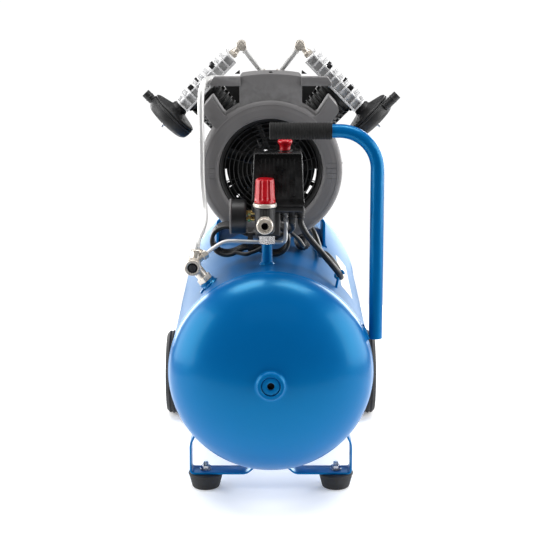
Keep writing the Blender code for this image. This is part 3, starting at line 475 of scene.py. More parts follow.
def cowl_plastic():
    """Moulded dark grey plastic with a fine spark-eroded texture and faint flow marks."""
    nodes = surface("cowl_plastic", (0.16, 0.155, 0.156), 0.62, shift=0.1, spread=0.1, patch=14.0,
        grain=1800.0, bump=0.00006, wear=grey(0.26), wear_amount=0.6)
    return nodes.material


def cast_aluminium():
    """Sand-cast aluminium: a lumpy dull skin, darker in its hollows and brighter along its edges."""
    nodes = surface("cast_aluminium", (0.66, 0.66, 0.662), 0.52, metallic=0.55, shift=0.07, spread=0.16,
        patch=60.0, grain=1500.0, bump=0.0001, wear=(0.85, 0.85, 0.86), wear_amount=0.5)
    lumps = nodes.noise(320.0, detail=5.0, rough=0.7)
    fine = nodes.noise(1500.0, detail=3.0)
    first = nodes.bump(lumps, 0.0001)
    nodes.link(nodes.bump(fine, 0.00006, after=first), nodes.shader.inputs["Normal"])
    return nodes.material


def foam_grip():
    """Closed-cell foam: pitted, dull and nearly black."""
    nodes = surface("foam", grey(0.007), 0.9, shift=0.25, spread=0.12, patch=70.0)
    pits = nodes.add("ShaderNodeTexVoronoi")
    pits.inputs["Scale"].default_value = 1100.0
    nodes.link(nodes.place, pits.inputs["Vector"])
    nodes.link(nodes.bump(pits.outputs["Distance"], 0.00014), nodes.shader.inputs["Normal"])
    return nodes.material


BLUE = blue_paint()
COWL = cowl_plastic()
CAST = cast_aluminium()
FOAM = foam_grip()
BLACK_SATIN = surface("black_satin_plastic", (0.008, 0.008, 0.009), 0.42, patch=30.0, grain=1500.0,
    bump=0.00003, wear=grey(0.05)).material
BLACK_GLOSS = surface("black_gloss_plastic", grey(0.001), 0.26, patch=12.0, grain=200.0, bump=0.000002,
    spread=0.05, wear=grey(0.06)).material
GRILLE = surface("grille_plastic", grey(0.009), 0.48, patch=50.0, grain=1500.0, bump=0.00003).material
FILTER_BLACK = surface("filter_plastic", (0.016, 0.016, 0.0165), 0.5, patch=24.0, grain=1100.0, bump=0.00008,
    wear=grey(0.07)).material
POWDER_BLACK = surface("black_powder_coat", grey(0.014), 0.48, patch=36.0, grain=900.0, bump=0.0001,
    wear=grey(0.09), wear_amount=0.4).material
WHEEL_BLACK = surface("wheel_plastic", (0.017, 0.017, 0.018), 0.58, patch=26.0, grain=1300.0, bump=0.00006,
    wear=grey(0.06)).material
RUBBER = surface("rubber", (0.013, 0.013, 0.014), 0.72, shift=0.3, patch=55.0, grain=1200.0, bump=0.00008,
    wear=grey(0.05)).material
PVC = surface("cable_sheath", grey(0.012), 0.36, shift=0.2, patch=45.0, grain=800.0, bump=0.00003,
    spread=0.14).material
PIPE_ALU = surface("pipe_aluminium", (0.82, 0.815, 0.8), 0.46, metallic=0.45, shift=0.05, spread=0.14,
    patch=45.0, grain=1600.0, bump=0.00002, strokes=(900.0, 900.0, 40.0)).material
NICKEL = surface("nickel_brass", (0.74, 0.68, 0.6), 0.3, metallic=0.6, shift=0.07, spread=0.1, patch=70.0,
    grain=900.0, bump=0.000004).material
BRASS = surface("brass", (0.7, 0.47, 0.17), 0.28, metallic=1.0, shift=0.08, spread=0.1, patch=80.0,
    grain=900.0, bump=0.000005).material
ZINC = surface("zinc_steel", (0.6, 0.6, 0.61), 0.3, metallic=1.0, shift=0.14, spread=0.18, patch=90.0,
    grain=1000.0, bump=0.000008, strokes=(700.0, 60.0, 700.0)).material
CHROME = surface("bright_steel", (0.5, 0.5, 0.51), 0.22, metallic=1.0, shift=0.06, spread=0.1, patch=60.0,
    grain=1500.0, bump=0.000004).material
DARK_STEEL = surface("black_oxide_steel", (0.02, 0.02, 0.022), 0.4, metallic=0.6, patch=80.0, grain=1500.0,
    bump=0.00003, wear=grey(0.2)).material
RED = surface("red_plastic", (0.5, 0.001, 0.008), 0.3, shift=0.08, spread=0.12, patch=40.0, grain=900.0,
    bump=0.00002, coat=0.18, coat_roughness=0.08).material
DIAL = surface("dial_white", (0.8, 0.8, 0.77), 0.4, shift=0.03, patch=30.0, grain=900.0, bump=0.00001,
    coat=0.6).material
LABEL = surface("blank_label", (0.74, 0.71, 0.55), 0.45, shift=0.04, patch=18.0, grain=900.0).material
BLACK_GLOSS.node_tree.nodes["Principled BSDF"].inputs["Specular IOR Level"].default_value = 0.28
# Near-black matte put inside bores, sockets and spouts as painted shade; the gauge's printed ticks use it
# too.
DARK_HOLLOW = surface("shadowed_bore", grey(0.004), 0.85, patch=40.0, bump=0.00005).material


# ---- camera, light and floor --------------------------------------------------------------------


def look():
    """Plain display colours, so that white is white."""
    bpy.context.scene.view_settings.view_transform = "Standard"


def camera():
    """A long lens in front of the compressor, looking a little down on it."""
    tilt_down, pan = 12.015, -0.0789
    lens = bpy.data.cameras.new("camera")
    lens.lens = 109.9
    lens.sensor_width = 36.0
    lens.dof.use_dof = False
    lens.shift_x = -0.0063
    obj = placed("camera", lens)
    obj.location = (0.0006, -2.6409, 0.8558)
    obj.rotation_euler = (radians(90 - tilt_down), 0, radians(pan))
    bpy.context.scene.camera = obj


def softbox(name, location, target, size, power):
    """A white rectangular panel that shines on its target."""
    light = bpy.data.lights.new(name, "AREA")
    light.shape = "RECTANGLE"
    light.size, light.size_y = size
    light.energy = power
    obj = placed(name, light)
    obj.location = location
    way = Vector(target) - Vector(location)
    obj.rotation_euler = way.to_track_quat("-Z", "Y").to_euler()


def studio():
    """A white floor and backdrop, tall panels to both sides and soft light from above and in front."""
    nodes = surface("white_floor", grey(0.93), 0.7, shift=0.01, spread=0.05, patch=2.0, grain=60.0,
        bump=0.00001)
    nodes.shader.inputs["Emission Color"].default_value = (1, 1, 1, 1)
    nodes.shader.inputs["Emission Strength"].default_value = 0.24
    form = bmesh.new()
    bmesh.ops.create_grid(form, x_segments=4, y_segments=4, size=1.0)
    floor = from_form("floor", form, nodes.material)
    floor.location.z = -0.0002
    world = bpy.data.worlds.new("studio")
    bpy.context.scene.world = world
    world.use_nodes = True
    tree = world.node_tree
    seen = tree.nodes.new("ShaderNodeBackground")
    seen.inputs["Color"].default_value = (1, 1, 1, 1)
    seen.inputs["Strength"].default_value = 1.05
    around = tree.nodes["Background"]
    around.inputs["Color"].default_value = (0.96, 0.98, 1.0, 1)
    around.inputs["Strength"].default_value = 0.1
    path = tree.nodes.new("ShaderNodeLightPath")
    choose = tree.nodes.new("ShaderNodeMixShader")
    tree.links.new(path.outputs["Is Camera Ray"], choose.inputs[0])
    tree.links.new(around.outputs[0], choose.inputs[1])
    tree.links.new(seen.outputs[0], choose.inputs[2])
    tree.links.new(choose.outputs[0], tree.nodes["World Output"].inputs["Surface"])
    softbox("left_panel", (-2.0, -0.3, 0.8), (0, 0.0, 0.35), (2.2, 1.6), 46)
    softbox("right_panel", (2.0, -0.3, 0.8), (0, 0.0, 0.35), (2.2, 1.6), 48)
    softbox("top_left_panel", (-0.7, -0.2, 2.5), (0, 0, 0.3), (0.9, 1.1), 27)
    softbox("top_right_panel", (0.7, -0.2, 2.5), (0, 0, 0.3), (0.9, 1.1), 27)
    softbox("front_fill", (0, -3.2, 2.6), (0, 0, 0.3), (2.8, 1.4), 3)
    softbox("back_left_panel", (-1.7, 2.4, 0.9), (0, 0, 0.3), (1.4, 1.8), 60)
    softbox("back_right_panel", (1.7, 2.4, 0.9), (0, 0, 0.3), (1.4, 1.8), 60)


# ---- cords --------------------------------------------------------------------------------------

MAINS_RADIUS = 0.0032
MAINS_EXIT = (0.031, -0.245, 0.4237)
MAINS_LEAD_ROUTE = [MAINS_EXIT, (0.031, -0.245, 0.419), (0.033, -0.234, 0.408), (0.026, -0.216, 0.398),
    (0.01, -0.211, 0.389), (-0.006, -0.2105, 0.377), (-0.022, -0.2102, 0.368), (-0.038, -0.209, 0.3625)]
TAIL_ROUTE = [(0.0318, -0.166, 0.389), (0.0395, -0.16, 0.379), (0.047, -0.152, 0.368), (0.05, -0.144, 0.362),
    (0.05, -0.136, 0.3614)]
MOTOR_RADIUS = 0.0045
MOTOR_LEAD_ROUTE = [(0.044, -0.245, 0.4237), (0.044, -0.245, 0.418), (0.049, -0.245, 0.406),
    (0.06, -0.244, 0.39), (0.0745, -0.243, 0.3727), (0.09, -0.242, 0.354), (0.101, -0.239, 0.34),
    (0.105, -0.231, 0.332), (0.104, -0.221, 0.334), (0.099, -0.208, 0.343), (0.089, -0.192, 0.354),
    (0.082, -0.172, 0.356), (0.079, -0.145, 0.348), (0.078, -0.1, 0.341), (0.077, -0.04, 0.342),
    (0.071, 0.0, 0.354), (0.058, 0.02, 0.374), (0.046, 0.025, 0.396), (0.044, 0.025, 0.41),
    (0.044, 0.025, 0.416)]


def route_length(points):
    return sum((Vector(b) - Vector(a)).length for a, b in zip(points, points[1:]))


def hank_turns():
    """The folded cord: oval turns side by side, drawn together in the middle by the tie."""
    low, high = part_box("mains_hank")
    bend = (high.z - low.z) / 2 - MAINS_RADIUS
    centre_z = (high.z + low.z) / 2
    left = low.x + MAINS_RADIUS + bend
    right = high.x - MAINS_RADIUS - bend
    waist = (left + right) / 2
    pinch = 0.0105
    first_y = low.y + MAINS_RADIUS
    last_y = high.y - MAINS_RADIUS
    run_steps = bend_steps = 14
    turns = 5

    def pulled(x):
        return pinch * cos(pi * (x - waist) / (right - left)) ** 2

    loop = []
    for i in range(run_steps):
        x = right + (left - right) * i / run_steps
        loop.append((x, centre_z - bend + pulled(x)))
    for i in range(bend_steps):
        turn = radians(-90 - 180 * i / bend_steps)
        loop.append((left + bend * cos(turn), centre_z + bend * sin(turn)))
    for i in range(run_steps):
        x = left + (right - left) * i / run_steps
        loop.append((x, centre_z + bend - pulled(x)))
    for i in range(bend_steps):
        turn = radians(90 - 180 * i / bend_steps)
        loop.append((right + bend * cos(turn), centre_z + bend * sin(turn)))
    first = next(i for i, (x, _) in enumerate(loop) if x < MAINS_LEAD_ROUTE[-1][0] - 0.01)
    last = turns * len(loop) + 2 * run_steps + bend_steps + 4
    points = []
    for i in range(first, last):
        x, z = loop[i % len(loop)]
        share = (i - first) / (last - 1 - first)
        wander = 0.0005 * sin(i * 0.9)
        points.append(Vector((x, first_y + (last_y - first_y) * share, z + wander * 0.4)))
    return points


def mains_cord():
    """The whole mains lead: out of the switch, folded into the hank, and on to the plug."""
    lead = smooth_route(MAINS_LEAD_ROUTE, 0.003)
    turns = hank_turns()
    tail = [Vector(point) for point in TAIL_ROUTE[1:]]
    whole = smooth_route([*lead[::3], *turns, *tail], 0.003)
    cord = curve_line("mains_cord", PVC, whole, MAINS_RADIUS, resolution=5)
    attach(cord, "frame")
    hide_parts("mains_lead", "mains_hank", "mains_tail")
    return cord, route_length(whole)


def strain_relief(material, points, radius, root):
    """A tapered sleeve over the first part of a cable, with moulded ribs."""
    radii = []
    ribs = 5
    count = len(points)
    for i in range(count):
        share = i / (count - 1)
        rib = 0.1 if (i * ribs * 2 // count) % 2 == 0 else 0.0
        radii.append((root + (radius * 1.12 - root) * share) / root + rib * (1 - share))
    return tube(material, points, root, radii, resolution=5)


def hank_tie():
    """A flat releasable tie round the waist of the hank, with its lock."""
    low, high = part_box("mains_hank")
    left, right = low.x, high.x
    waist = (left + right) / 2
    centre_z = (low.z + high.z) / 2
    half_y = (high.y - low.y) / 2 + 0.0004
    centre_y = (high.y + low.y) / 2
    half_z = 0.015
    band = rounded([(-half_y, -half_z), (half_y, -half_z), (half_y, half_z), (-half_y, half_z)], 0.004,
        steps=5, closed=True)
    inner = rounded([(-half_y + 0.0011, -half_z + 0.0011), (half_y - 0.0011, -half_z + 0.0011),
        (half_y - 0.0011, half_z - 0.0011), (-half_y + 0.0011, half_z - 0.0011)], 0.003, steps=5, closed=True)
    at = (waist, centre_y, centre_z)
    strap = slab(BLACK_SATIN, band, 0.0075, at=at, along=X_AXIS, up=Z_AXIS, bevel=0)
    strap = carved(strap, slab(BLACK_SATIN, inner, 0.02, at=at, along=X_AXIS, up=Z_AXIS, bevel=0))
    lock = block(BLACK_SATIN, (waist - 0.0048, centre_y - half_y - 0.003, centre_z - 0.004),
        (waist + 0.0048, centre_y - half_y + 0.0006, centre_z + 0.004), bevel=0.0008)
    united([strap, lock])
    strap.name = "hank_tie"
    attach(strap, "frame")
    return strap


def mains_plug():
    """A moulded round plug: ribbed strain relief, grip flutes on the body and two pins."""
    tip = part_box("mains_plug")[1].y
    x, z = middle("mains_plug").x, middle("mains_plug").z
    start, body, face = -0.138, -0.12, -0.086
    at = (x, start, z)
    cone = []
    for i in range(6):
        y = 0.003 * i
        radius = 0.0044 + 0.0007 * i
        cone += [(radius + 0.0006, y), (radius + 0.0006, y + 0.0018), (radius - 0.0004, y + 0.0019),
            (radius - 0.0004, y + 0.0029)]
    depth = body - start
    length = face - start
    profile = [(0, 0)] + cone + [(0.0085, depth), (0.0112, depth + 0.003), (0.0118, depth + 0.012),
        (0.0134, depth + 0.018), (0.0138, depth + 0.024), (0.0138, length), (0.012, length),
        (0.0118, length - 0.001), (0, length - 0.001)]
    shell = lathe(BLACK_SATIN, profile, at=at, axis=Y_AXIS, steps=48, soft=0.0004)
    shapes = [shell]
    for i in range(14):
        turn = 2 * pi * i / 14
        spot = Vector((x + 0.0116 * cos(turn), 0, z + 0.0116 * sin(turn)))
        shapes.append(rod(BLACK_SATIN, spot + Y_AXIS * (body + 0.004), spot + Y_AXIS * (body + 0.014), 0.0007,
            steps=10))
    for side in (-1, 1):
        pin = Vector((x + side * 0.0075, 0, z))
        shapes.append(rod(CHROME, pin + Y_AXIS * (face - 0.002), pin + Y_AXIS * (tip - 0.0002), 0.0024,
            steps=20, soft=0.0012))
    return piece("mains_plug_moulded", ["mains_plug"], "black_plastic", *shapes)


def cords():
    cord, length = mains_cord()
    relief = strain_relief(BLACK_SATIN, smooth_route(MAINS_LEAD_ROUTE[:4], 0.0012)[:22], MAINS_RADIUS, 0.0052)
    relief.name = "mains_strain_relief"
    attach(relief, "frame")
    tie = hank_tie()
    plug = mains_plug()
    points = smooth_route(MOTOR_LEAD_ROUTE, 0.003)
    lead = curve_line("motor_cable", PVC, points, MOTOR_RADIUS)
    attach(lead, "frame")
    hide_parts("motor_lead")
    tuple(MOTOR_LEAD_ROUTE[0])
    round(route_length(points), 2)


# ---- tank ---------------------------------------------------------------------------------------

RISER_X, RISER_Y = middle("riser_pipe").x, middle("riser_pipe").y
PORT = Vector((-0.0923, -0.238, tank_height(-0.0923)))
HOOK = Vector((0.0985, -0.242, tank_height(0.0985)))


def radial(point):
    """The way straight out of the tank's side at this point."""
    return Vector((point.x, 0, point.z - TANK_AXIS_Z)).normalized()


def uneven(obj, amount, size, seed=0.0):
    """Pushes the surface in and out a little, as hand welding or sand casting leaves it."""
    mesh = obj.data
    shift = Vector((seed, seed * 0.7, -seed))
    normals = [vertex.normal.copy() for vertex in mesh.vertices]
    for vertex, normal in zip(mesh.vertices, normals):
        vertex.co += normal * amount * noise.noise(vertex.co / size + shift)
    return obj


def weld_ring(centre, axis, radius, width=0.003, seed=1.0):
    """A rippled fillet weld round a fitting, painted over."""
    profile = [(radius - 0.0005, width), (radius + 0.25 * width, 0.55 * width), (radius + width, -0.0006),
        (radius + width, -0.002)]
    ring = lathe(BLUE, profile, at=centre, axis=axis, steps=72, soft=0.0012)
    return uneven(ring, 0.0009, 0.0035, seed)


def tank():
    """The painted shell: pressed domes, their welded seams and bosses, the side port and a cable hook."""
    bore, boss, tip = 0.0141, 0.02, 0.382
    half = [(bore, 0.366), (bore, tip - 0.0006), (bore + 0.0006, tip), (boss - 0.0012, tip),
        (boss, tip - 0.0012)]
    half += [(boss + 0.0002, 0.3765), (boss + 0.0012, 0.3752), (boss + 0.0034, 0.3742)]
    first = acos((boss + 0.005) / TANK_RADIUS)
    steps = 40
    for i in range(steps):
        angle = first * (1 - i / steps)
        half.append((TANK_RADIUS * cos(angle), TANK_HALF_SHELL + DOME_DEPTH * sin(angle)))
    half = [spot for spot in half if spot[1] > TANK_HALF_SHELL + 0.0045]
    half += [(TANK_RADIUS + rise, TANK_HALF_SHELL + offset) for offset,
        rise in ((0.0042, -0.0002), (0.003, 0.0003), (0.0015, 0.0009), (0.0, 0.0011), (-0.0015, 0.0009),
        (-0.003, 0.0003), (-0.0042, 0.0))]
    profile = half + [(r, -y) for r, y in reversed(half)]
    shell = lathe(BLUE, profile, at=(0, 0, TANK_AXIS_Z), axis=Y_AXIS, steps=192, soft=0)
    seam_x = 0.03
    seam_z = TANK_AXIS_Z - sqrt(TANK_RADIUS ** 2 - seam_x ** 2)
    seam = tube(BLUE, [(seam_x, -0.297 + 0.011 * i, seam_z) for i in range(55)], 0.0018)
    way = radial(PORT)
    port = lathe(BLUE, [(0.0088, 0.0065), (0.0118, 0.0065), (0.0125, 0.0055), (0.0125, -0.012)], at=PORT,
        axis=way, steps=48)
    shapes = [shell, uneven(seam, 0.0004, 0.004), port, weld_ring(PORT, way, 0.0125, seed=3.0),
        weld_ring((RISER_X, RISER_Y, tank_height(RISER_X)), Z_AXIS, 0.0083, 0.0032, seed=5.0)]
    shapes += paint_runs(way) + [cable_hook(), blank_label()]
    return piece("tank_enamelled", ["tank_shell"], "tank_blue", *shapes)


def blank_label():
    """A pale sticker without any print, bent to the tank's right flank."""
    form = bmesh.new()
    rows = []
    for i in range(9):
        turn = radians(46 + 10 * i / 8)
        reach = TANK_RADIUS + 0.00025
        rows.append([form.verts.new((reach * sin(turn), y, TANK_AXIS_Z + reach * cos(turn))) for y in (-0.19,
            -0.13, -0.07, -0.01, 0.05)])
    for low, high in zip(rows, rows[1:]):
        for j in range(4):
            form.faces.new((low[j], low[j + 1], high[j + 1], high[j]))
    return from_form("label", form, LABEL)


def paint_runs(way):
    """Thick runs and beads of paint below the side port."""
    along = way.cross(Y_AXIS).normalized()
    down = along if along.z < 0 else -along
    runs = []
    for offset, length, thick in ((-0.007, 0.011, 0.0027), (-0.001, 0.008, 0.0024), (0.005, 0.012, 0.0027)):
        points, radii = [], []
        for i in range(12):
            share = i / 11
            flat = PORT - Y_AXIS * (0.0125 + length * share) + down * (0.004 + 0.004 * share + offset)
            out = radial(flat)
            points.append(Vector((out.x * TANK_RADIUS, flat.y, TANK_AXIS_Z + out.z * TANK_RADIUS)))
            radii.append(0.95 + 0.2 * sin(share * 5.0 + offset * 900) ** 2 - 0.25 * share ** 3)
        runs.append(tube(BLUE, points, thick, radii))
    return runs


def cable_hook():
    """A bent wire on the tank that holds the motor's cable."""
    along = Vector((0.004, 0.008, -0.008)).normalized()
    centre = Vector((0.1026, -0.2358, 0.3367))
    foot = HOOK - radial(HOOK) * 0.002
    first = foot - centre
    first = (first - along * first.dot(along)).normalized()
    second = along.cross(first)
    reach = MOTOR_RADIUS + 0.0022
    loop = [centre + reach * (cos(radians(a)) * first + sin(radians(a)) * second) for a in range(0, 250, 20)]
    return tube(BLUE, smooth_route([foot, foot.lerp(loop[0], 0.6)] + loop, 0.001), 0.002)


def end_plugs():
    """Screwed blanking plugs in both bosses, each with a round key socket."""
    for node, side in (("front_plug", -1), ("rear_plug", 1)):
        face = Vector((0, side * 0.38, TANK_AXIS_Z))
        out = Y_AXIS * side
        disc = lathe(BLUE, [(0.0052, -0.01), (0.0052, -0.0006), (0.006, 0), (0.0124, 0), (0.0134, -0.001),
            (0.0136, -0.016)], at=face, axis=out, steps=64)
        # The key socket is lined with near-black matte: painted shade.
        well = lathe(DARK_HOLLOW, [(0, -0.007), (0.005, -0.0068), (0.0051, -0.0012)], at=face, axis=out,
            steps=32)
        piece(f"{node}_screwed", [node], "tank_blue", disc, well)


def drain():
    """A brass drain cock under the tank, with a knurled knob."""
    low = TANK_AXIS_Z - TANK_RADIUS
    at = (0, 0.05, low)
    body = lathe(BRASS, [(0.0035, -0.016), (0.0085, -0.0158), (0.0085, 0.006)], at=at, steps=40)
    nut = hexagon(BRASS, (0, 0.05, low - 0.016), (0, 0.05, low - 0.004), 0.011, bore=0.0035)
    piece("drain_cock", ["drain_body"], "brass", body, nut)
    knob = lathe(BRASS, [(0, -0.0163), (0.0082, -0.0163), (0.009, -0.0172), (0.009, -0.0256),
        (0.008, -0.0265), (0.005, -0.0265), (0.004, -0.0255), (0, -0.0255)], at=at, steps=40)
    ribs = [spun(block(BRASS, (0.0086, -0.0004, low - 0.025), (0.0093, 0.0004, low - 0.0178), bevel=0.0002),
            (0, 0.05, 0), 2 * pi * i / 24, "Z") for i in range(24)]
    piece("drain_knob_knurled", ["drain_knob"], "brass", knob, *ribs)


# ---- wheels and feet ----------------------------------------------------------------------------


def wheels():
    """Moulded wheels: a grooved tyre, a rim with stiffening ribs, and a stub axle with a push-on cap."""
    low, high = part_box("wheel_tyre_right")
    centre_x = (low.x + high.x) / 2
    half = (high.x - low.x) / 2
    wheel_y, wheel_z = middle("wheel_tyre_right").y, middle("wheel_tyre_right").z
    radius = high.z - wheel_z
    for name, side in SIDES:
        at = Vector((side * centre_x, wheel_y, wheel_z))
        out = X_AXIS * side
        tread = [(0.0542, half - 0.002), (0.06, half - 0.0014), (radius - 0.006, half),
            (radius - 0.0012, half - 0.0045)]
        for groove in (0.0066, 0.0, -0.0066):
            tread += [(radius, groove + 0.0022), (radius - 0.0016, groove + 0.0012),
                (radius - 0.0016, groove - 0.0012), (radius, groove - 0.0022)]
        tread += [(radius - 0.0012, -half + 0.0045), (radius - 0.006, -half), (0.06, -half + 0.0014),
            (0.0542, -half + 0.002)]
        tyre = lathe(RUBBER, tread, at=at, axis=out, steps=96, soft=0.0008, closed=True)
        piece(f"tyre_{name}", [f"wheel_tyre_{name}"], "wheel_black", tyre)
        rim = [(0.0064, 0.0125), (0.0125, 0.0125), (0.013, 0.0115), (0.0135, 0.004), (0.016, 0.003),
            (0.046, 0.003), (0.049, 0.006), (0.05, 0.0125), (0.0535, 0.0125), (0.0538, 0.01), (0.0538, -0.01),
            (0.0535, -0.0125), (0.0505, -0.0125), (0.0495, -0.003), (0.014, -0.003), (0.012, -0.013),
            (0.0064, -0.013)]
        shapes = [lathe(WHEEL_BLACK, rim, at=at, axis=out, steps=96, soft=0.0008, closed=True)]
        for i in range(10):
            for x0, x1 in ((0.0022, 0.0096), (-0.011, -0.0022)):
                x0, x1 = sorted((side * x0, side * x1))
                rib = block(WHEEL_BLACK, (x0, -0.0011, 0.0125), (x1, 0.0011, 0.05), bevel=0.0005)
                shapes.append(spun(rib, at, 2 * pi * (i + 0.5) / 10, "X"))
        piece(f"rim_{name}", [f"wheel_rim_{name}"], "wheel_black", *shapes)
        wheel_bracket(name, side, at, half)


def wheel_bracket(name, side, at, half):
    """A pressed plate welded to the tank, with its stub axle and the axle's cap."""
    plate_x = side * (abs(at.x) - half - 0.004)
    outline = rounded([(-0.022, 0.058), (-0.01, 0.0535), (0.01, 0.0535), (0.022, 0.058), (0.03, 0.16),
        (-0.03, 0.16)], 0.008, steps=6, closed=True)
    plate = slab(BLUE, outline, 0.004, at=(plate_x, at.y, 0), along=X_AXIS, bevel=0.0007)
    web_low, web_high = sorted((side * 0.115, plate_x))
    web = block(BLUE, (web_low, at.y - 0.014, 0.112), (web_high, at.y + 0.014, 0.1165), bevel=0.0008)
    tip = side * (abs(at.x) + half - 0.0015)
    axle = rod(ZINC, (plate_x - side * 0.003, at.y, at.z), (tip, at.y, at.z), 0.006)
    nut = hexagon(ZINC, (plate_x - side * 0.0085, at.y, at.z), (plate_x - side * 0.002, at.y, at.z), 0.0098)
    cap = lathe(CHROME, [(0, 0.0029), (0.005, 0.0026), (0.0082, 0.0012), (0.009, 0), (0.009, -0.0006),
        (0, -0.0006)], at=(side * (abs(at.x) + 0.0124), at.y, at.z), axis=X_AXIS * side, steps=48,
        soft=0.0006)
    weld = uneven(tube(BLUE, [(side * (sqrt(TANK_RADIUS ** 2 - (0.158 - TANK_AXIS_Z) ** 2) - 0.0005),
        at.y - 0.03 + 0.003 * i, 0.158) for i in range(21)], 0.003), 0.001, 0.004)
    piece(f"wheel_plate_{name}", [f"wheel_bracket_{name}"], "tank_blue", plate, web, axle, nut, cap, weld)


def thickened(centre_line, thickness):
    """A strip's outline: its centre line moved half its thickness to each side."""
    left, right = [], []
    for i, point in enumerate(centre_line):
        before = Vector(centre_line[max(i - 1, 0)])
        after = Vector(centre_line[min(i + 1, len(centre_line) - 1)])
        way = (after - before).normalized()
        side = Vector((-way.y, way.x)) * thickness / 2
        left.append(tuple(Vector(point) + side))
        right.append(tuple(Vector(point) - side))
    return left + right[::-1]


def feet():
    """A bent strip under the tank's front, its two rubber feet, and their bolts with washers and nuts."""
    y = middle("foot_bracket").y
    foot_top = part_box("rubber_foot_left")[1].z
    strip_z = foot_top + GAP + 0.0015
    leg_x = 0.1225
    line = [(0.006, TANK_AXIS_Z - TANK_RADIUS - 0.0018), (0.0372, strip_z), (leg_x, strip_z), (leg_x, 0.0728),
        (0.1098, 0.1)]
    right = rounded(line, 0.006, steps=6)
    centre = [(-x, z) for x, z in reversed(right)] + right
    strip = slab(BLUE, thickened(centre, 0.003), 0.036, at=(0, y, 0), along=-Y_AXIS, bevel=0.0006)
    shapes = [strip]
    for side in (-1, 1):
        bead = [(side * 0.109, y - 0.016 + 0.002 * i, 0.101) for i in range(17)]
        shapes.append(uneven(tube(BLUE, bead, 0.0028), 0.0008, 0.004, 2.0))
    piece("foot_strip", ["foot_bracket"], "tank_blue", *shapes)
    for name, side in SIDES:
        x = middle(f"rubber_foot_{name}").x
        profile = [(0.0044, foot_top), (0.025, foot_top), (0.0268, foot_top - 0.0012),
            (0.0268, foot_top - 0.003), (0.0258, foot_top - 0.0042), (0.0216, 0.004), (0.0206, 0.0012),
            (0.0192, 0), (0.011, 0), (0.01, 0.004), (0.01, 0.008), (0.0044, 0.008)]
        foot = lathe(RUBBER, profile, at=(x, y, 0), steps=80, soft=0.0007, closed=True)
        piece(f"foot_moulded_{name}", [f"rubber_foot_{name}"], "rubber_black", foot)
        top = strip_z + 0.0015 + GAP
        shank = rod(ZINC, (x, y, 0.0085), (x, y, 0.0398), 0.0038, steps=28, soft=0.0008)
        threads = [lathe(ZINC, [(0.0037, 0.0006), (0.00405, 0), (0.0037, -0.0006)],
                at=(x, y, top + 0.0066 + 0.0011 * i), steps=28, soft=0) for i in range(5)]
        washer = lathe(ZINC, [(0.0042, 0.0012), (0.0088, 0.0012), (0.0088, 0), (0.0042, 0)], at=(x, y, top),
            steps=40, soft=0.0003, closed=True)
        nut = hexagon(ZINC, (x, y, top + 0.0012), (x, y, top + 0.0068), 0.0075, bore=0.0038)
        head = hexagon(ZINC, (x, y, 0.0088), (x, y, 0.0138), 0.007)
        piece(f"foot_fixing_{name}", [f"foot_bolt_{name}"], "steel", shank, washer, nut, head, *threads)


# ---- handle -------------------------------------------------------------------------------------


def handle():
    """The bent tube, welded to the tank's right side, and its ribbed foam grip."""
    low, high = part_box("handle_tube")
    radius = 0.01
    x, y, top = high.x - radius, middle("handle_tube").y, high.z - radius
    bend = 0.055
    corner = Vector((x - bend, y, top - bend))
    points = [Vector((x, y, low.z + (corner.z - low.z) * i / 20)) for i in range(20)]
    points += [corner + Vector((bend * cos(radians(a)), 0, bend * sin(radians(a)))) for a in range(0, 91, 3)]
    points += [Vector((corner.x + (low.x + 0.0004 - corner.x) * i / 12, y, top)) for i in range(1, 13)]
    bar = tube(BLUE, points, radius, resolution=10)
    contact = [(TANK_RADIUS * cos(asin((z - TANK_AXIS_Z) / TANK_RADIUS)) + 0.0006,
        z) for z in (0.253 + 0.0018 * i for i in range(11))]
    welds = [uneven(tube(BLUE, [(bead_x, y + off, z) for bead_x, z in contact], 0.0026), 0.0009, 0.004,
            off) for off in (-0.007, 0.007)]
    piece("handle_bar", ["handle_tube"], "tank_blue", bar, *welds)
    grip_low, grip_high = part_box("handle_grip")
    length = grip_high.x - grip_low.x
    outer = (grip_high.z - grip_low.z) / 2
    profile = [(0, 0), (outer - 0.0016, 0), (outer, 0.001), (outer, 0.0026), (outer - 0.0007, 0.0032)]
    ribs = 22
    pitch = (length - 0.0045) / ribs
    for i in range(ribs):
        start = 0.0036 + pitch * i
        profile += [(outer - 0.0002, start), (outer - 0.0002, start + pitch * 0.62),
            (outer - 0.0009, start + pitch * 0.72), (outer - 0.0009, start + pitch * 0.92)]
    profile += [(outer - 0.0002, length - 0.0008), (outer - 0.001, length), (radius + GAP, length)]
    grip = lathe(FOAM, profile, at=(grip_low.x, y, top), axis=X_AXIS, steps=72, soft=0.0003)
    piece("foam_grip", ["handle_grip"], "foam_black", grip)


# ---- cooling cowl and fan -----------------------------------------------------------------------

COWL_FRONT = -0.145
COWL_BACK = -0.076
COWL_RADIUS = 0.109
INLET_RADIUS = 0.0795


def arc(centre_a, centre_b, radius, start, end, steps):
    return [(centre_a + radius * cos(radians(start + (end - start) * i / steps)),
        centre_b + radius * sin(radians(start + (end - start) * i / steps))) for i in range(steps + 1)]


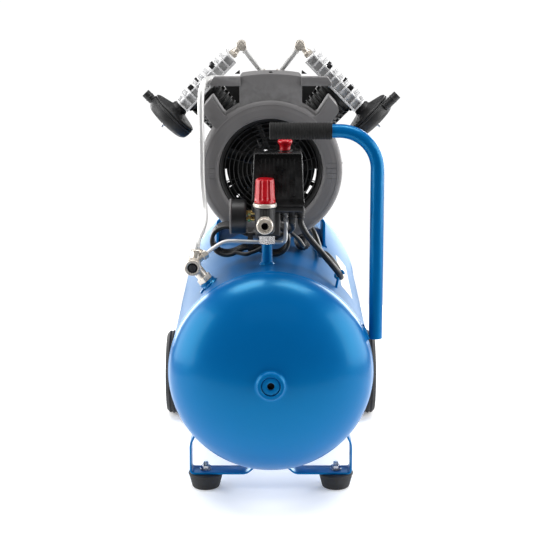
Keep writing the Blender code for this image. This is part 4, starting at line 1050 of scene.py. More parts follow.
def cowl_ring():
    """The bell-mouthed ring, with its shallow level grooves on both cheeks."""
    profile = arc(INLET_RADIUS + 0.007, 0.0625, 0.007, 180, 90, 8) + [(0.095, 0.0698)]
    profile += arc(COWL_RADIUS - 0.0075, 0.0615, 0.0075, 90, 0, 8)
    profile += [(COWL_RADIUS, 0.0), (COWL_RADIUS - 0.003, 0.0), (COWL_RADIUS - 0.003, 0.06), (0.102, 0.0655),
        (INLET_RADIUS + 0.007, 0.0655), (INLET_RADIUS + 0.003, 0.062), (INLET_RADIUS + 0.003, 0.05),
        (INLET_RADIUS, 0.05)]
    ring = lathe(COWL, profile, at=(0, COWL_BACK, CRANK_Z), axis=-Y_AXIS, steps=160, soft=0.0004, closed=True)
    cutters = []
    for side in (-1, 1):
        for rise in (0.0125, 0.0045, -0.0035, -0.0115):
            low_x, high_x = sorted((side * 0.085, side * 0.115))
            cutters.append(block(COWL, (low_x, COWL_FRONT - 0.004, CRANK_Z + rise - 0.0004),
                (high_x, COWL_FRONT + 0.0002, CRANK_Z + rise + 0.0004), bevel=0))
    return carved(ring, *cutters)


def shade_plate_behind_window(side):
    """A dark plate behind the cowl's upper opening, between its box and the cylinder, put there as painted
    shade.
    """
    outline = [(side * x, z) for x, z in ((0.044, 0.576), (0.044, 0.612), (0.08, 0.612), (0.052, 0.576))]
    return slab(GRILLE, outline, 0.0014, at=(0, -0.0728, 0), along=-Y_AXIS, bevel=0.0003, segments=1)


def inner_wall():
    """The wall behind the fan, with narrow slots low on both sides that daylight shows through."""
    form = bmesh.new()
    radii = [0.052, 0.0683, 0.0695, 0.0718, 0.0737, 0.08, 0.1064]
    steps = 144
    front = {}

    def vertex(i, k):
        key = (i, k % steps)
        if key not in front:
            turn = 2 * pi * (k % steps) / steps
            front[key] = form.verts.new((radii[i] * cos(turn), COWL_BACK - 0.003,
                CRANK_Z + radii[i] * sin(turn)))
        return front[key]

    for k in range(steps):
        turn = 360 * (k + 0.5) / steps
        low = abs((turn - 270 + 180) % 360 - 180)
        for i in range(len(radii) - 1):
            outer_slot = i in (2, 3) and 46 < low < 84 and not 62 < low < 67
            inner_slot = i == 1 and 36 < low < 52
            if not (outer_slot or inner_slot):
                form.faces.new((vertex(i, k), vertex(i, k + 1), vertex(i + 1, k + 1), vertex(i + 1, k)))
    wall = from_form("inner_wall", form, GRILLE)
    wall.modifiers.new("thickness", "SOLIDIFY").thickness = 0.002
    return applied(wall)


def cowl():
    """The grey cowl: ring, crowned box on top, two arms and bars, and its fixings."""
    # The dark plates behind the two upper openings are painted shade.
    shapes = [cowl_ring(), inner_wall(), shade_plate_behind_window(-1), shade_plate_behind_window(1)]
    front = COWL_FRONT + 0.0035
    depth = COWL_BACK - front
    mid = (0, (front + COWL_BACK) / 2, CRANK_Z)
    half, top = 0.0475, 0.144
    crown = [(x, top + 0.0042 * (1 - (x / half) ** 2)) for x in (0.0465 - 0.0031 * i for i in range(31))]
    outline = rounded([(-half, 0.085), (half, 0.085), (half, top - 0.001)] + crown + [(-half, top - 0.001)],
        0.0012, closed=True)
    wall = 0.003
    middle_line = [(-half + wall / 2, 0.088), (-half + wall / 2, top - 0.004)]
    middle_line += [(-x, y - wall / 2) for x, y in crown[1:-1]] + [(half - wall / 2, top - 0.004),
        (half - wall / 2, 0.088)]
    shapes.append(slab(COWL, outline, 2 * wall, at=(0, front + wall, CRANK_Z), bevel=0.0028, segments=4))
    shapes.append(slab(COWL, thickened(middle_line, wall), depth - 0.001, at=mid, bevel=0.0008))
    collar = lathe(COWL, [(COWL_RADIUS - 0.007, 0.0694), (COWL_RADIUS - 0.001, 0.065),
        (COWL_RADIUS + 0.0008, 0.06), (COWL_RADIUS + 0.0008, 0.03)], at=(0, COWL_BACK, CRANK_Z), axis=-Y_AXIS,
        steps=160)
    shapes.append(collar)
    for _, side in SIDES:
        bar = rounded([(0.046, 0.1296), (0.09, 0.1296), (0.0935, 0.133), (0.086, 0.1437), (0.046, 0.1437)],
            0.0018, closed=True)
        arm = rounded([(0.056, 0.079), (0.0715, 0.086), (0.0894, 0.113), (0.102, 0.099), (0.1036, 0.091),
            (0.0929, 0.076), (0.084, 0.064)], 0.003, closed=True)
        shapes.append(slab(COWL, mirrored(bar, side), 0.016, at=(0, COWL_FRONT + 0.009, CRANK_Z),
            bevel=0.0012, segments=3))
        shapes.append(slab(COWL, mirrored(arm, side), COWL_BACK - COWL_FRONT - 0.001,
            at=(0, (COWL_FRONT + COWL_BACK) / 2, CRANK_Z), bevel=0.0016, segments=3))
        tab = mirrored([(0.0475, 0.143), (0.056, 0.143), (0.048, 0.1492)], side)
        shapes.append(slab(BLACK_SATIN, tab, 0.002, at=(0, COWL_BACK - 0.01, CRANK_Z), bevel=0.0004))
        clip_low, clip_high = sorted((side * 0.0868, side * 0.0925))
        shapes.append(block(ZINC, (clip_low, COWL_FRONT - 0.0004, CRANK_Z + 0.1282),
            (clip_high, COWL_FRONT + 0.01, CRANK_Z + 0.1308), bevel=0.0006))
        nub_low, nub_high = sorted((side * (COWL_RADIUS - 0.002), side * (COWL_RADIUS + 0.0014)))
        shapes.append(block(COWL, (nub_low, COWL_FRONT + 0.02, CRANK_Z + 0.008),
            (nub_high, COWL_FRONT + 0.024, CRANK_Z + 0.011), bevel=0.0004))
    knob_at = (0, COWL_FRONT + 0.02, CRANK_Z + top + 0.0038)
    shapes.append(lathe(BLACK_SATIN, [(0, 0.0028), (0.0022, 0.0028), (0.003, 0.002), (0.003, 0), (0, 0)],
        at=knob_at, steps=24))
    piece("cooling_cowl", ["shroud"], "grey_plastic", *shapes)


def mirrored(outline, side):
    return [(side * x, y) for x, y in outline]


def guard():
    """The moulded grille: fine rings on radial bars inside a deep black rim."""
    y = middle("fan_guard").y
    at = (0, y, CRANK_Z)
    outer = INLET_RADIUS - GAP
    rim = [(outer - 0.006, 0.0012), (outer - 0.002, 0.0085), (outer, 0.0092), (outer, -0.006),
        (outer - 0.0022, -0.006), (outer - 0.006, -0.0012)]
    shapes = [lathe(GRILLE, rim, at=at, axis=-Y_AXIS, steps=120, closed=True)]
    shapes.append(lathe(GRILLE, [(0, 0.0016), (0.0085, 0.0014), (0.011, 0.0006), (0.011, -0.0012),
        (0, -0.0012)], at=at, axis=-Y_AXIS, steps=48))
    for i in range(9):
        radius = 0.0165 + 0.0068 * i
        ring = [(radius - 0.0008, 0.001), (radius, 0.0014), (radius + 0.0008, 0.001),
            (radius + 0.0008, -0.001), (radius - 0.0008, -0.001)]
        shapes.append(lathe(GRILLE, ring, at=at, axis=-Y_AXIS, steps=96, soft=0.0002, closed=True))
    for i in range(12):
        bar = block(GRILLE, (0.01, -0.0011, -0.0007), (outer - 0.003, 0.0009, 0.0007), bevel=0.0002,
            segments=1)
        shapes.append(spun(bar, at, radians(30 * i + 15), "Y"))
    piece("inlet_grille", ["fan_guard"], "black_plastic", *shapes)


def fan():
    """Seven twisted blades on a domed hub."""
    y = middle("fan").y
    at = Vector((0, y, CRANK_Z))
    low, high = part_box("fan")
    tip = (high.z - low.z) / 2 - 0.0008
    hub = lathe(BLACK_SATIN, [(0.0073, 0.01), (0.015, 0.0095), (0.0195, 0.006), (0.02, -0.01),
        (0.0073, -0.01)], at=at, axis=-Y_AXIS, steps=64, closed=True)
    shapes = [hub]
    spans, chords = 10, 6
    for blade in range(7):
        form = bmesh.new()
        grid = []
        for i in range(spans + 1):
            radius = 0.018 + (tip - 0.018) * i / spans
            twist = radians(52 - 20 * i / spans)
            width = 0.026 - 0.003 * i / spans
            row = []
            for k in range(chords + 1):
                share = k / chords - 0.5
                bow = 0.0024 * (1 - 4 * share * share)
                around = share * width * cos(twist) + bow * sin(twist)
                along = share * width * sin(twist) - bow * cos(twist)
                turn = around / radius * 0.9 + 2 * pi * blade / 7 + 0.12 * i / spans
                row.append(form.verts.new((radius * cos(turn), max(-0.0125, min(0.0125, along)),
                    radius * sin(turn))))
            grid.append(row)
        for first, second in zip(grid, grid[1:]):
            for k in range(chords):
                form.faces.new((first[k], first[k + 1], second[k + 1], second[k]))
        sheet = from_form("blade", form, BLACK_SATIN)
        sheet.modifiers.new("thickness", "SOLIDIFY").thickness = 0.0016
        sheet = applied(sheet)
        shapes.append(moved(sheet, Matrix.Translation(at)))
    piece("cooling_fan", ["fan"], "black_plastic", *shapes)


# ---- pump ---------------------------------------------------------------------------------------


def bank_slab(material, side, outline, thickness, across, bevel=0.0005):
    """An outline of (y, out) points made into a plate square to the bank's across direction."""
    outward = bank_axis(side)
    at = bank_point(side, 0, across, 0)
    form = bmesh.new()
    shift = bank_across(side) * thickness / 2
    low = [form.verts.new(at + Y_AXIS * y + outward * out - shift) for y, out in outline]
    high = [form.verts.new(at + Y_AXIS * y + outward * out + shift) for y, out in outline]
    close_prism(form, low, high)
    return softened(from_form("plate", form, material), bevel)


def bank_block(material, side, out, across, y):
    """A block between low and high values along the bank's three directions."""
    outline = [(y[0], out[0]), (y[1], out[0]), (y[1], out[1]), (y[0], out[1])]
    return bank_slab(material, side, outline, across[1] - across[0], (across[0] + across[1]) / 2, 0.0008)


def cap_screw(material, foot, way, radius=0.0045, height=0.0065):
    """A socket-headed screw's head, standing on a surface."""
    top = Vector(foot) + Vector(way) * height
    head = lathe(material, [(0.0019, height - 0.0026), (0.0022, height - 0.0002), (radius - 0.0006, height),
        (radius, height - 0.0006), (radius, 0)], at=foot, axis=way, steps=32, soft=0.0002)
    # The hex socket is lined with near-black matte: painted shade.
    well = lathe(DARK_HOLLOW, [(0, -0.0024), (0.0021, -0.0022), (0.0021, -0.0004)], at=top, axis=way, steps=6,
        soft=0)
    return [head, well]


def cylinder_head(name, side):
    """A cast head: a core between two flanges, ten cooling fins with humped tops, and its screws."""
    inner, outer, base, top = -0.075, 0.034, 0.15, 0.169
    y0 = CYLINDER_Y
    half = 0.042
    shapes = [bank_block(CAST, side, (base, base + 0.0034), (inner, outer), (y0 - half, y0 + half)),
        bank_block(CAST, side, (base + 0.001, top), (inner + 0.002, outer - 0.002),
            (y0 - 0.0355, y0 + 0.0355)),
        bank_block(CAST, side, (top - 0.0026, top), (inner + 0.001, outer - 0.001), (y0 - 0.04, y0 + 0.04))]
    fins = 10
    thick = 0.0024
    for i in range(fins):
        across = outer - thick / 2 - i * (outer - inner - thick) / (fins - 1)
        rise = 0.0 if i in (0, fins - 1) else 0.0032
        humps = [(y0 - half, base + 0.001), (y0 - half, top - 0.003)]
        for k in range(25):
            share = k / 24
            wave = abs(sin(3 * pi * share)) ** 0.6
            humps.append((y0 - half + 0.0015 + (2 * half - 0.003) * share,
                top + 0.0012 + (0.0048 + rise) * wave))
        humps += [(y0 + half, top - 0.003), (y0 + half, base + 0.001)]
        shapes.append(uneven(bank_slab(CAST, side, humps, thick, across), 0.0001, 0.004, i))
    for across, y in ((-0.042, -0.03), (-0.042, 0.03), (0.004, -0.03), (-0.006, 0.03)):
        shapes += cap_screw(DARK_STEEL, bank_point(side, top - 0.0005, across, y0 + y), bank_axis(side),
            0.0042, 0.008)
    piece(f"cast_head_{name}", [f"head_{name}"], "cast_alu", *shapes)


def barrel(name, side):
    """A black cylinder with thin cooling fins, tied by a web on each side."""
    base, top = 0.0658, 0.1497
    core, tip = 0.0272, 0.0315
    at = bank_point(side, 0, 0, CYLINDER_Y)
    profile = [(0.024, top), (0.034, top), (0.034, top - 0.004), (core, top - 0.0046)]
    fins = 9
    pitch = (top - base - 0.014) / fins
    for i in range(fins):
        z = top - 0.007 - pitch * (i + 0.4)
        profile += [(core, z + 0.0018), (tip, z + 0.0008), (tip, z - 0.0008), (core, z - 0.0018)]
    profile += [(core, base + 0.003), (core, base), (0.024, base)]
    shapes = [lathe(POWDER_BLACK, profile, at=at, axis=bank_axis(side), steps=96, soft=0.0004, closed=True)]
    for across in (-0.0293, 0.0293):
        shapes.append(bank_block(POWDER_BLACK, side, (base + 0.004, top - 0.002),
            (across - 0.002, across + 0.002), (CYLINDER_Y - 0.0016, CYLINDER_Y + 0.0016)))
    piece(f"finned_barrel_{name}", [f"cylinder_{name}"], "black_paint", *shapes)


def piston(name, side):
    """A flat-topped piston with its ring grooves."""
    profile = [(0, 0.13), (0.0228, 0.13), (0.0236, 0.1292), (0.0236, 0.1262), (0.0226, 0.1262),
        (0.0226, 0.1246), (0.0236, 0.1246), (0.0236, 0.1216), (0.0226, 0.1216), (0.0226, 0.12),
        (0.0236, 0.12), (0.0236, 0.104), (0.0192, 0.104), (0.0192, 0.124), (0, 0.124)]
    crown = lathe(CAST, profile, at=bank_point(side, 0, 0, CYLINDER_Y), axis=bank_axis(side), steps=64,
        soft=0.0002)
    piece(f"ringed_piston_{name}", [f"piston_{name}"], "cast_alu", crown)


def elbow(name, side):
    """A nickel-plated banjo elbow: threaded hexagon, stem and eye, with its hollow bolt through the eye."""
    start = -0.0753
    eye = bank_point(side, HEAD_AXIS, -0.0965, CYLINDER_Y)
    foot = bank_point(side, HEAD_AXIS, start, CYLINDER_Y)
    way = -bank_across(side)
    collar = lathe(NICKEL, [(0, 0.0125), (0.0046, 0.0122), (0.0052, 0.008), (0.0064, 0.0066),
        (0.0066, 0.0048), (0, 0.0048)], at=foot, axis=way, steps=40)
    stem = rod(NICKEL, foot, eye, 0.0044, steps=32)
    ring = lathe(NICKEL, [(0.005, 0.006), (0.0078, 0.006), (0.0085, 0.0048), (0.0085, -0.0048),
        (0.0078, -0.006), (0.005, -0.006)], at=eye, axis=-Y_AXIS, steps=56, closed=True)
    shapes = [hexagon(NICKEL, foot, foot + way * 0.0048, 0.008),
        collar,
        stem,
        ring,
        lathe(ZINC, [(0.0045, 0.0066), (0.0076, 0.0066), (0.0076, 0.006), (0.0045, 0.006)], at=eye,
            axis=-Y_AXIS, steps=48, soft=0, closed=True),
        hexagon(NICKEL, eye - Y_AXIS * 0.0066, eye - Y_AXIS * 0.009, 0.0074),
        hexagon(NICKEL, eye + Y_AXIS * 0.006, eye + Y_AXIS * 0.009, 0.0074),
        rod(NICKEL, eye - Y_AXIS * 0.0092, eye + Y_AXIS * 0.0085, 0.0035, steps=24)]
    piece(f"banjo_elbow_{name}", [f"head_elbow_{name}"], "nickel_brass", *shapes)


def link():
    """The tee above the crankcase and its two branches to the elbows."""
    tee = uneven(block(CAST, (-0.0158, -0.0418, 0.6002), (0.0158, -0.0182, 0.6218), bevel=0.003, segments=4),
        0.0002, 0.006)
    shapes = [tee]
    for _, side in SIDES:
        eye = bank_point(side, HEAD_AXIS, -0.0965, CYLINDER_Y)
        down = (Vector((side * 0.012, CYLINDER_Y, 0.618)) - eye).normalized()
        foot = Vector((side * 0.0095, CYLINDER_Y, 0.614))
        shapes.append(tube(PIPE_ALU, [eye + down * 0.0086, eye.lerp(foot, 0.5), foot], 0.0045, resolution=8))
        shapes.append(rod(PIPE_ALU, eye + down * 0.0086, eye + down * 0.0125, 0.0056))
        shapes.append(hexagon(NICKEL, foot - down * 0.009, foot - down * 0.002, 0.0074))
    shapes.append(hexagon(NICKEL, (-0.016, -0.03, 0.611), (-0.013, -0.03, 0.611), 0.008))
    piece("outlet_tee", ["link_pipe"], "pipe_alu", *shapes)


DISCHARGE_ROUTE = [(-0.11, -0.232, 0.3752), (-0.11, -0.232, 0.38), (-0.1085, -0.224, 0.389),
    (-0.103, -0.205, 0.401), (-0.1002, -0.19, 0.4135), (-0.1015, -0.175, 0.4317), (-0.1048, -0.162, 0.468),
    (-0.1053, -0.158, 0.5134), (-0.1057, -0.157, 0.5589), (-0.1052, -0.154, 0.5949), (-0.1022, -0.142, 0.61),
    (-0.0965, -0.126, 0.616), (-0.0875, -0.11, 0.617), (-0.074, -0.093, 0.615), (-0.06, -0.074, 0.612),
    (-0.043, -0.054, 0.6105), (-0.029, -0.034, 0.611), (-0.021, -0.03, 0.611), (-0.0164, -0.03, 0.611)]
UNLOADER_ROUTE = [(0.0223, -0.228, 0.4155), (0.0223, -0.228, 0.404), (0.0223, -0.228, 0.3925),
    (0.0205, -0.227, 0.386), (0.015, -0.2225, 0.3836), (-0.0055, -0.2203, 0.3834), (-0.03, -0.2205, 0.3838),
    (-0.0595, -0.221, 0.3848), (-0.0715, -0.2235, 0.3833), (-0.0833, -0.228, 0.3773),
    (-0.0951, -0.234, 0.3694)]


def pipes():
    """The delivery pipe over the cowl's left arm, and the thin unloader pipe in front."""
    delivery = tube(PIPE_ALU, smooth_route(DISCHARGE_ROUTE, 0.0025), 0.005, resolution=8)
    piece("delivery_pipe", ["discharge_pipe"], "pipe_alu", delivery)
    thin = tube(PIPE_ALU, smooth_route(UNLOADER_ROUTE, 0.002), 0.003)
    piece("unloader_line", ["unloader_pipe"], "pipe_alu", thin)


def corner_valve():
    """The check valve on the tank's port: hexagons, barrel with a recessed cap, inlet nut and side stub."""
    way = radial(PORT)
    centre = PORT + way * 0.0375
    flange = PORT + way * (0.0065 + GAP)
    inlet = Vector(DISCHARGE_ROUTE[0])
    stub = Vector(UNLOADER_ROUTE[-1])
    stub_way = (stub - Vector(UNLOADER_ROUTE[-2])).normalized()
    front = centre - Y_AXIS * 0.026
    shapes = [hexagon(NICKEL, flange, flange + way * 0.008, 0.012),
        rod(NICKEL, PORT - way * 0.004, centre, 0.0085, steps=40),
        lathe(NICKEL, [(0.006, 0.014), (0.0105, 0.014), (0.0115, 0.0125), (0.0115, -0.0165),
            (0.006, -0.0165)], at=centre, axis=Y_AXIS, steps=64, closed=True),
        rod(NICKEL, centre + Y_AXIS * 0.013, centre + Y_AXIS * 0.0136, 0.007),
        hexagon(NICKEL, front + Y_AXIS * 0.0095, front + Y_AXIS * 0.0018, 0.013),
        lathe(NICKEL, [(0.0076, 0.0002), (0.0082, -0.0018), (0.0112, -0.0018), (0.0118, -0.0008),
            (0.0118, 0.002), (0.0076, 0.004)], at=front + Y_AXIS * 0.0008, axis=Y_AXIS, steps=64,
            closed=True),
        rod(DARK_STEEL, front + Y_AXIS * 0.006, front + Y_AXIS * 0.001, 0.0077, steps=48),
        hexagon(DARK_STEEL, front + Y_AXIS * 0.002, front - Y_AXIS * 0.0004, 0.0052),
        rod(NICKEL, centre, inlet - Z_AXIS * 0.003, 0.0072, steps=40),
        hexagon(NICKEL, inlet - Z_AXIS * 0.008, inlet - Z_AXIS * 0.0006, 0.0085),
        rod(NICKEL, centre, stub + stub_way * 0.004, 0.0048),
        hexagon(NICKEL, stub + stub_way * 0.009, stub + stub_way * 0.0005, 0.007)]
    piece("corner_valve", ["check_valve"], "nickel_brass", *shapes)


def filters():
    """Round intake filters: a coned back plate on a stepped neck, a cup, its spout, stud and wing nut."""
    for name, side in SIDES:
        at = bank_point(side, HEAD_AXIS, 0, CYLINDER_Y)
        out = bank_across(side)
        plate = [(0, 0.0552), (0.0385, 0.0552), (0.0394, 0.0545), (0.0394, 0.0528), (0.0365, 0.051),
            (0.015, 0.0452), (0.0135, 0.044), (0.0128, 0.04), (0.0112, 0.0396), (0.0112, 0.0346), (0, 0.0346)]
        neck = hexagon(FILTER_BLACK, at + out * 0.0347, at + out * 0.0385, 0.0126)
        base = lathe(FILTER_BLACK, plate, at=at, axis=out, steps=96, soft=0.001)
        piece(f"filter_plate_{name}", [f"filter_base_{name}"], "black_plastic", base, neck)
        cup = [(0, 0.0768), (0.024, 0.0768), (0.033, 0.0752), (0.0385, 0.071), (0.04, 0.065), (0.04, 0.06),
            (0.0394, 0.0594), (0.0402, 0.0586), (0.0402, 0.0559), (0.0375, 0.0558), (0.037, 0.065),
            (0.03, 0.074), (0, 0.0745)]
        shapes = [lathe(FILTER_BLACK, cup, at=at, axis=out, steps=96, soft=0.0022)]
        shapes.append(lathe(FILTER_BLACK, [(0.01, 0.0768), (0.0115, 0.0776), (0.013, 0.0768)], at=at,
            axis=out, steps=64, soft=0.0004))
        spout_y = 0.0 if side < 0 else -0.026
        root = 0.036 if side < 0 else 0.027
        centre = at + out * 0.064 + Y_AXIS * spout_y
        way = bank_axis(side)
        shapes.append(lathe(FILTER_BLACK, [(0.005, 0.054), (0.0052, 0.055), (0.0068, 0.055), (0.007, 0.0535),
            (0.007, root)], at=centre, axis=way, steps=48))
        # The spout's inside is lined with near-black matte: painted shade.
        shapes.append(lathe(DARK_HOLLOW, [(0, 0.044), (0.005, 0.044), (0.0051, 0.0545)], at=centre, axis=way,
            steps=48, soft=0))
        shapes.append(lathe(FILTER_BLACK, [(0.007, 0.0465), (0.0076, 0.0462), (0.0076, 0.0445),
            (0.007, 0.0442)], at=centre, axis=way, steps=48))
        shapes += wing_nut(at, out)
        piece(f"filter_cup_{name}", [f"filter_cover_{name}"], "black_plastic", *shapes)


def wing_nut(at, out):
    """A small wing nut on its stud, with a washer under it."""
    stud = rod(ZINC, at + out * 0.076, at + out * 0.0848, 0.0021, steps=20)
    washer = rod(ZINC, at + out * 0.0769, at + out * 0.0778, 0.0052, steps=32, soft=0.0003)
    nut = lathe(ZINC, [(0, 0.0815), (0.003, 0.0812), (0.004, 0.0778), (0, 0.0778)], at=at, axis=out, steps=24)
    wings = []
    for flip in (-1, 1):
        outline = rounded([(0.0025 * flip, 0.0785), (0.005 * flip, 0.079), (0.0085 * flip, 0.0825),
            (0.0068 * flip, 0.084), (0.0025 * flip, 0.0808)], 0.001, closed=True)
        wings.append(slab(ZINC, outline, 0.0014, at=at, along=bank_cross(out), up=out, bevel=0.0004))
    return [stud, washer, nut, *wings]


def bank_cross(out):
    return Vector(out).cross(Y_AXIS).normalized()


def crank_drive():
    """The crankcase with its ribs, breather and lead entry, and the turning shaft with its rotor."""
    at = (0, CYLINDER_Y, CRANK_Z)
    profile = [(0.0078, 0.048), (0.0185, 0.048), (0.02, 0.0465), (0.024, 0.037), (0.052, 0.0352),
        (0.059, 0.031), (0.06, 0.029), (0.06, 0.01), (0.061, 0.009), (0.061, 0.006), (0.06, 0.005),
        (0.06, -0.056), (0.0615, -0.058), (0.0615, -0.07), (0.05, -0.07), (0.05, 0.027), (0.0078, 0.027)]
    shapes = [lathe(POWDER_BLACK, profile, at=at, axis=-Y_AXIS, steps=96, soft=0.0012, closed=True)]
    for _, side in SIDES:
        shapes.append(uneven(lathe(POWDER_BLACK, [(0.025, 0.0654), (0.0335, 0.0654), (0.0345, 0.062),
            (0.031, 0.059), (0.031, 0.045)], at=bank_point(side, 0, 0, CYLINDER_Y), axis=bank_axis(side),
            steps=72), 0.0002, 0.006))
        for across in (-0.0245, 0.0245):
            for y in (-0.0245, 0.0245):
                foot = bank_point(side, 0.061, across, CYLINDER_Y + y)
                shapes.append(rod(POWDER_BLACK, foot - bank_axis(side) * 0.01,
                    foot + bank_axis(side) * 0.0042, 0.0052, steps=24))
    for i in range(12):
        turn = radians(30 * i + 15)
        spot = Vector((0.0555 * cos(turn), 0.04, CRANK_Z + 0.0555 * sin(turn)))
        shapes.append(rod(POWDER_BLACK, spot - Y_AXIS * 0.0085, spot, 0.0042, steps=20))
    shapes += [rod(BLACK_SATIN, (0.044, 0.025, 0.4163), (0.044, 0.025, 0.43), 0.007),
        hexagon(BLACK_SATIN, (0.044, 0.025, 0.42), (0.044, 0.025, 0.4245), 0.0092),
        lathe(BRASS, [(0, 0.066), (0.0035, 0.0655), (0.006, 0.06), (0.006, 0.056), (0, 0.056)],
            at=(0, -0.015, CRANK_Z), axis=Z_AXIS, steps=24)]
    piece("cast_crankcase", ["crankcase"], "black_paint", *shapes)
    shaft = [rod(ZINC, (0, -0.119, CRANK_Z), (0, 0.224, CRANK_Z), 0.007, steps=40, soft=0.0008),
        rod(CAST, (0, -0.05, CRANK_Z - 0.004), (0, -0.044, CRANK_Z - 0.004), 0.026, steps=64),
        rod(CAST, (0, -0.016, CRANK_Z - 0.004), (0, -0.01, CRANK_Z - 0.004), 0.026, steps=64),
        rod(ZINC, (0, -0.046, CRANK_Z + 0.014), (0, -0.014, CRANK_Z + 0.014), 0.0065),
        rod(DARK_STEEL, (0, 0.07, CRANK_Z), (0, 0.14, CRANK_Z), 0.034, steps=80),
        hexagon(ZINC, (0, -0.116, CRANK_Z), (0, -0.1188, CRANK_Z), 0.011)]
    piece("turning_shaft", ["crankshaft"], "steel", *shaft)


# ---- motor --------------------------------------------------------------------------------------


def motor():
    """The finned stator housing on its feet, a slotted end bell, and the capacitor box."""
    low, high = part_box("motor_shell")
    front, back = low.y, high.y
    radius = high.x
    depth = back - front
    core = [(0.0365, depth), (0.05, depth), (radius - 0.0075, depth - 0.004), (radius - 0.004, depth - 0.008),
        (radius - 0.004, 0.008), (radius - 0.0002, 0.007), (radius - 0.0002, 0.0), (0.0365, 0.0)]
    shapes = [lathe(POWDER_BLACK, core, at=(0, front, CRANK_Z), axis=Y_AXIS, steps=120, soft=0.001,
            closed=True)]
    for i in range(40):
        fin = block(POWDER_BLACK, (-0.0011, front + 0.006, radius - 0.006),
            (0.0011, back - 0.008, radius - 0.0003), bevel=0.0004, segments=1)
        shapes.append(spun(fin, (0, 0, CRANK_Z), 2 * pi * (i + 0.5) / 40, "Y"))
    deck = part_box("pump_bracket")[1].z
    for side in (-1, 1):
        a, b = sorted((side * 0.03, side * 0.058))
        shapes.append(block(POWDER_BLACK, (a, 0.06, deck + GAP), (b, 0.16, deck + 0.008), bevel=0.0012))
        a, b = sorted((side * 0.036, side * 0.052))
        shapes.append(block(POWDER_BLACK, (a, 0.066, deck + 0.006), (b, 0.154, 0.438), bevel=0.0015))
        for y in (0.07, 0.15):
            foot = Vector((side * 0.055, y, deck + 0.008))
            shapes.append(hexagon(ZINC, foot + Z_AXIS * 0.0008, foot + Z_AXIS * 0.0052, 0.0062))
            shapes.append(rod(ZINC, foot, foot + Z_AXIS * 0.001, 0.007, soft=0.0002))
    for i in range(4):
        turn = radians(90 * i + 45)
        spot = Vector((0.056 * cos(turn), 0, CRANK_Z + 0.056 * sin(turn)))
        shapes.append(hexagon(ZINC, spot + Y_AXIS * (back - 0.0045), spot + Y_AXIS * (back + 0.0008), 0.0046))
    piece("motor_housing", ["motor_shell"], "black_paint", *shapes)
    end_bell(back)
    capacitor()


def end_bell(back):
    """The rear cover: a dished cap with rows of air slots and three fixing screws."""
    form = bmesh.new()
    outline = [(0.056, 0.0), (0.0558, 0.006), (0.0545, 0.012), (0.052, 0.0175), (0.047, 0.0205),
        (0.042, 0.0225), (0.036, 0.0245), (0.03, 0.0262), (0.024, 0.0275), (0.018, 0.0292), (0.012, 0.0305),
        (0.006, 0.0312)]
    steps = 96
    rings = [[form.verts.new((r * cos(2 * pi * k / steps), back + GAP + h,
        CRANK_Z + r * sin(2 * pi * k / steps))) for k in range(steps)] for r, h in outline]
    centre = form.verts.new((0, back + GAP + 0.0314, CRANK_Z))
    for i in range(len(rings) - 1):
        for k in range(steps):
            slot = i in (4, 5, 7, 8) and k % 8 in (2, 3, 4, 5)
            if not slot:
                form.faces.new((rings[i][k], rings[i][(k + 1) % steps], rings[i + 1][(k + 1) % steps],
                    rings[i + 1][k]))
    for k in range(steps):
        form.faces.new((rings[-1][k], rings[-1][(k + 1) % steps], centre))
    shell = from_form("bell", form, BLACK_SATIN, sharp=40)
    shell.modifiers.new("thickness", "SOLIDIFY").thickness = 0.0022
    shapes = [applied(shell)]
    for i in range(3):
        turn = radians(120 * i + 90)
        foot = Vector((0.0535 * cos(turn), back + 0.013, CRANK_Z + 0.0535 * sin(turn)))
        shapes += cap_screw(ZINC, foot, Y_AXIS, radius=0.0035, height=0.0035)
    piece("slotted_end_bell", ["motor_end_bell"], "black_plastic", *shapes)


def capacitor():
    """A lidded box on the motor with two screws."""
    low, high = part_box("capacitor_box")
    seam = high.z - 0.012
    tray = block(BLACK_SATIN, low, (high.x, high.y, seam), bevel=0.003, segments=3)
    lid = block(BLACK_SATIN, (low.x, low.y, seam - 0.003), high, bevel=0.0035, segments=4)
    rim = block(BLACK_SATIN, (low.x + 0.0008, low.y + 0.0008, seam - 0.0052),
        (high.x - 0.0008, high.y - 0.0008, seam + 0.002), bevel=0.002)
    shapes = [tray, lid, rim]
    for y in (low.y + 0.01, high.y - 0.01):
        shapes += cap_screw(ZINC, (0, y, high.z - 0.0022), Z_AXIS, radius=0.0032, height=0.002)
    piece("capacitor_case", ["capacitor_box"], "black_plastic", *shapes)


def bracket():
    """The bent saddle under the pump, with weld beads along the tank."""
    low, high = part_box("pump_bracket")
    leg = high.x - 0.002
    top = high.z - 0.002
    line = rounded([(-leg, low.z + 0.0004), (-leg, top), (leg, top), (leg, low.z + 0.0004)], 0.008, steps=6)
    mid_y = (low.y + high.y) / 2
    plate = slab(BLUE, thickened(line, 0.004), high.y - low.y, at=(0, mid_y, 0), along=-Y_AXIS, bevel=0.0007)
    shapes = [plate]
    contact = TANK_AXIS_Z + sqrt(TANK_RADIUS ** 2 - (high.x + 0.0008) ** 2)
    for side in (-1, 1):
        bead = [(side * (high.x + 0.0004), low.y + 0.004 + 0.003 * i, contact + 0.0006) for i in range(48)]
        shapes.append(uneven(tube(BLUE, bead, 0.0026), 0.0008, 0.004, side))
    piece("saddle", ["pump_bracket"], "tank_blue", *shapes)


# ---- switch, regulator, gauge and coupler -------------------------------------------------------

SWITCH_X, SWITCH_Y = 0.0105, -0.24
REGULATOR_X, REGULATOR_Y = -0.0085, -0.2885
COUPLER_Y, COUPLER_Z = -0.306, 0.428
GAUGE_Y, GAUGE_Z = -0.25, 0.4275
RELIEF_Z = 0.419


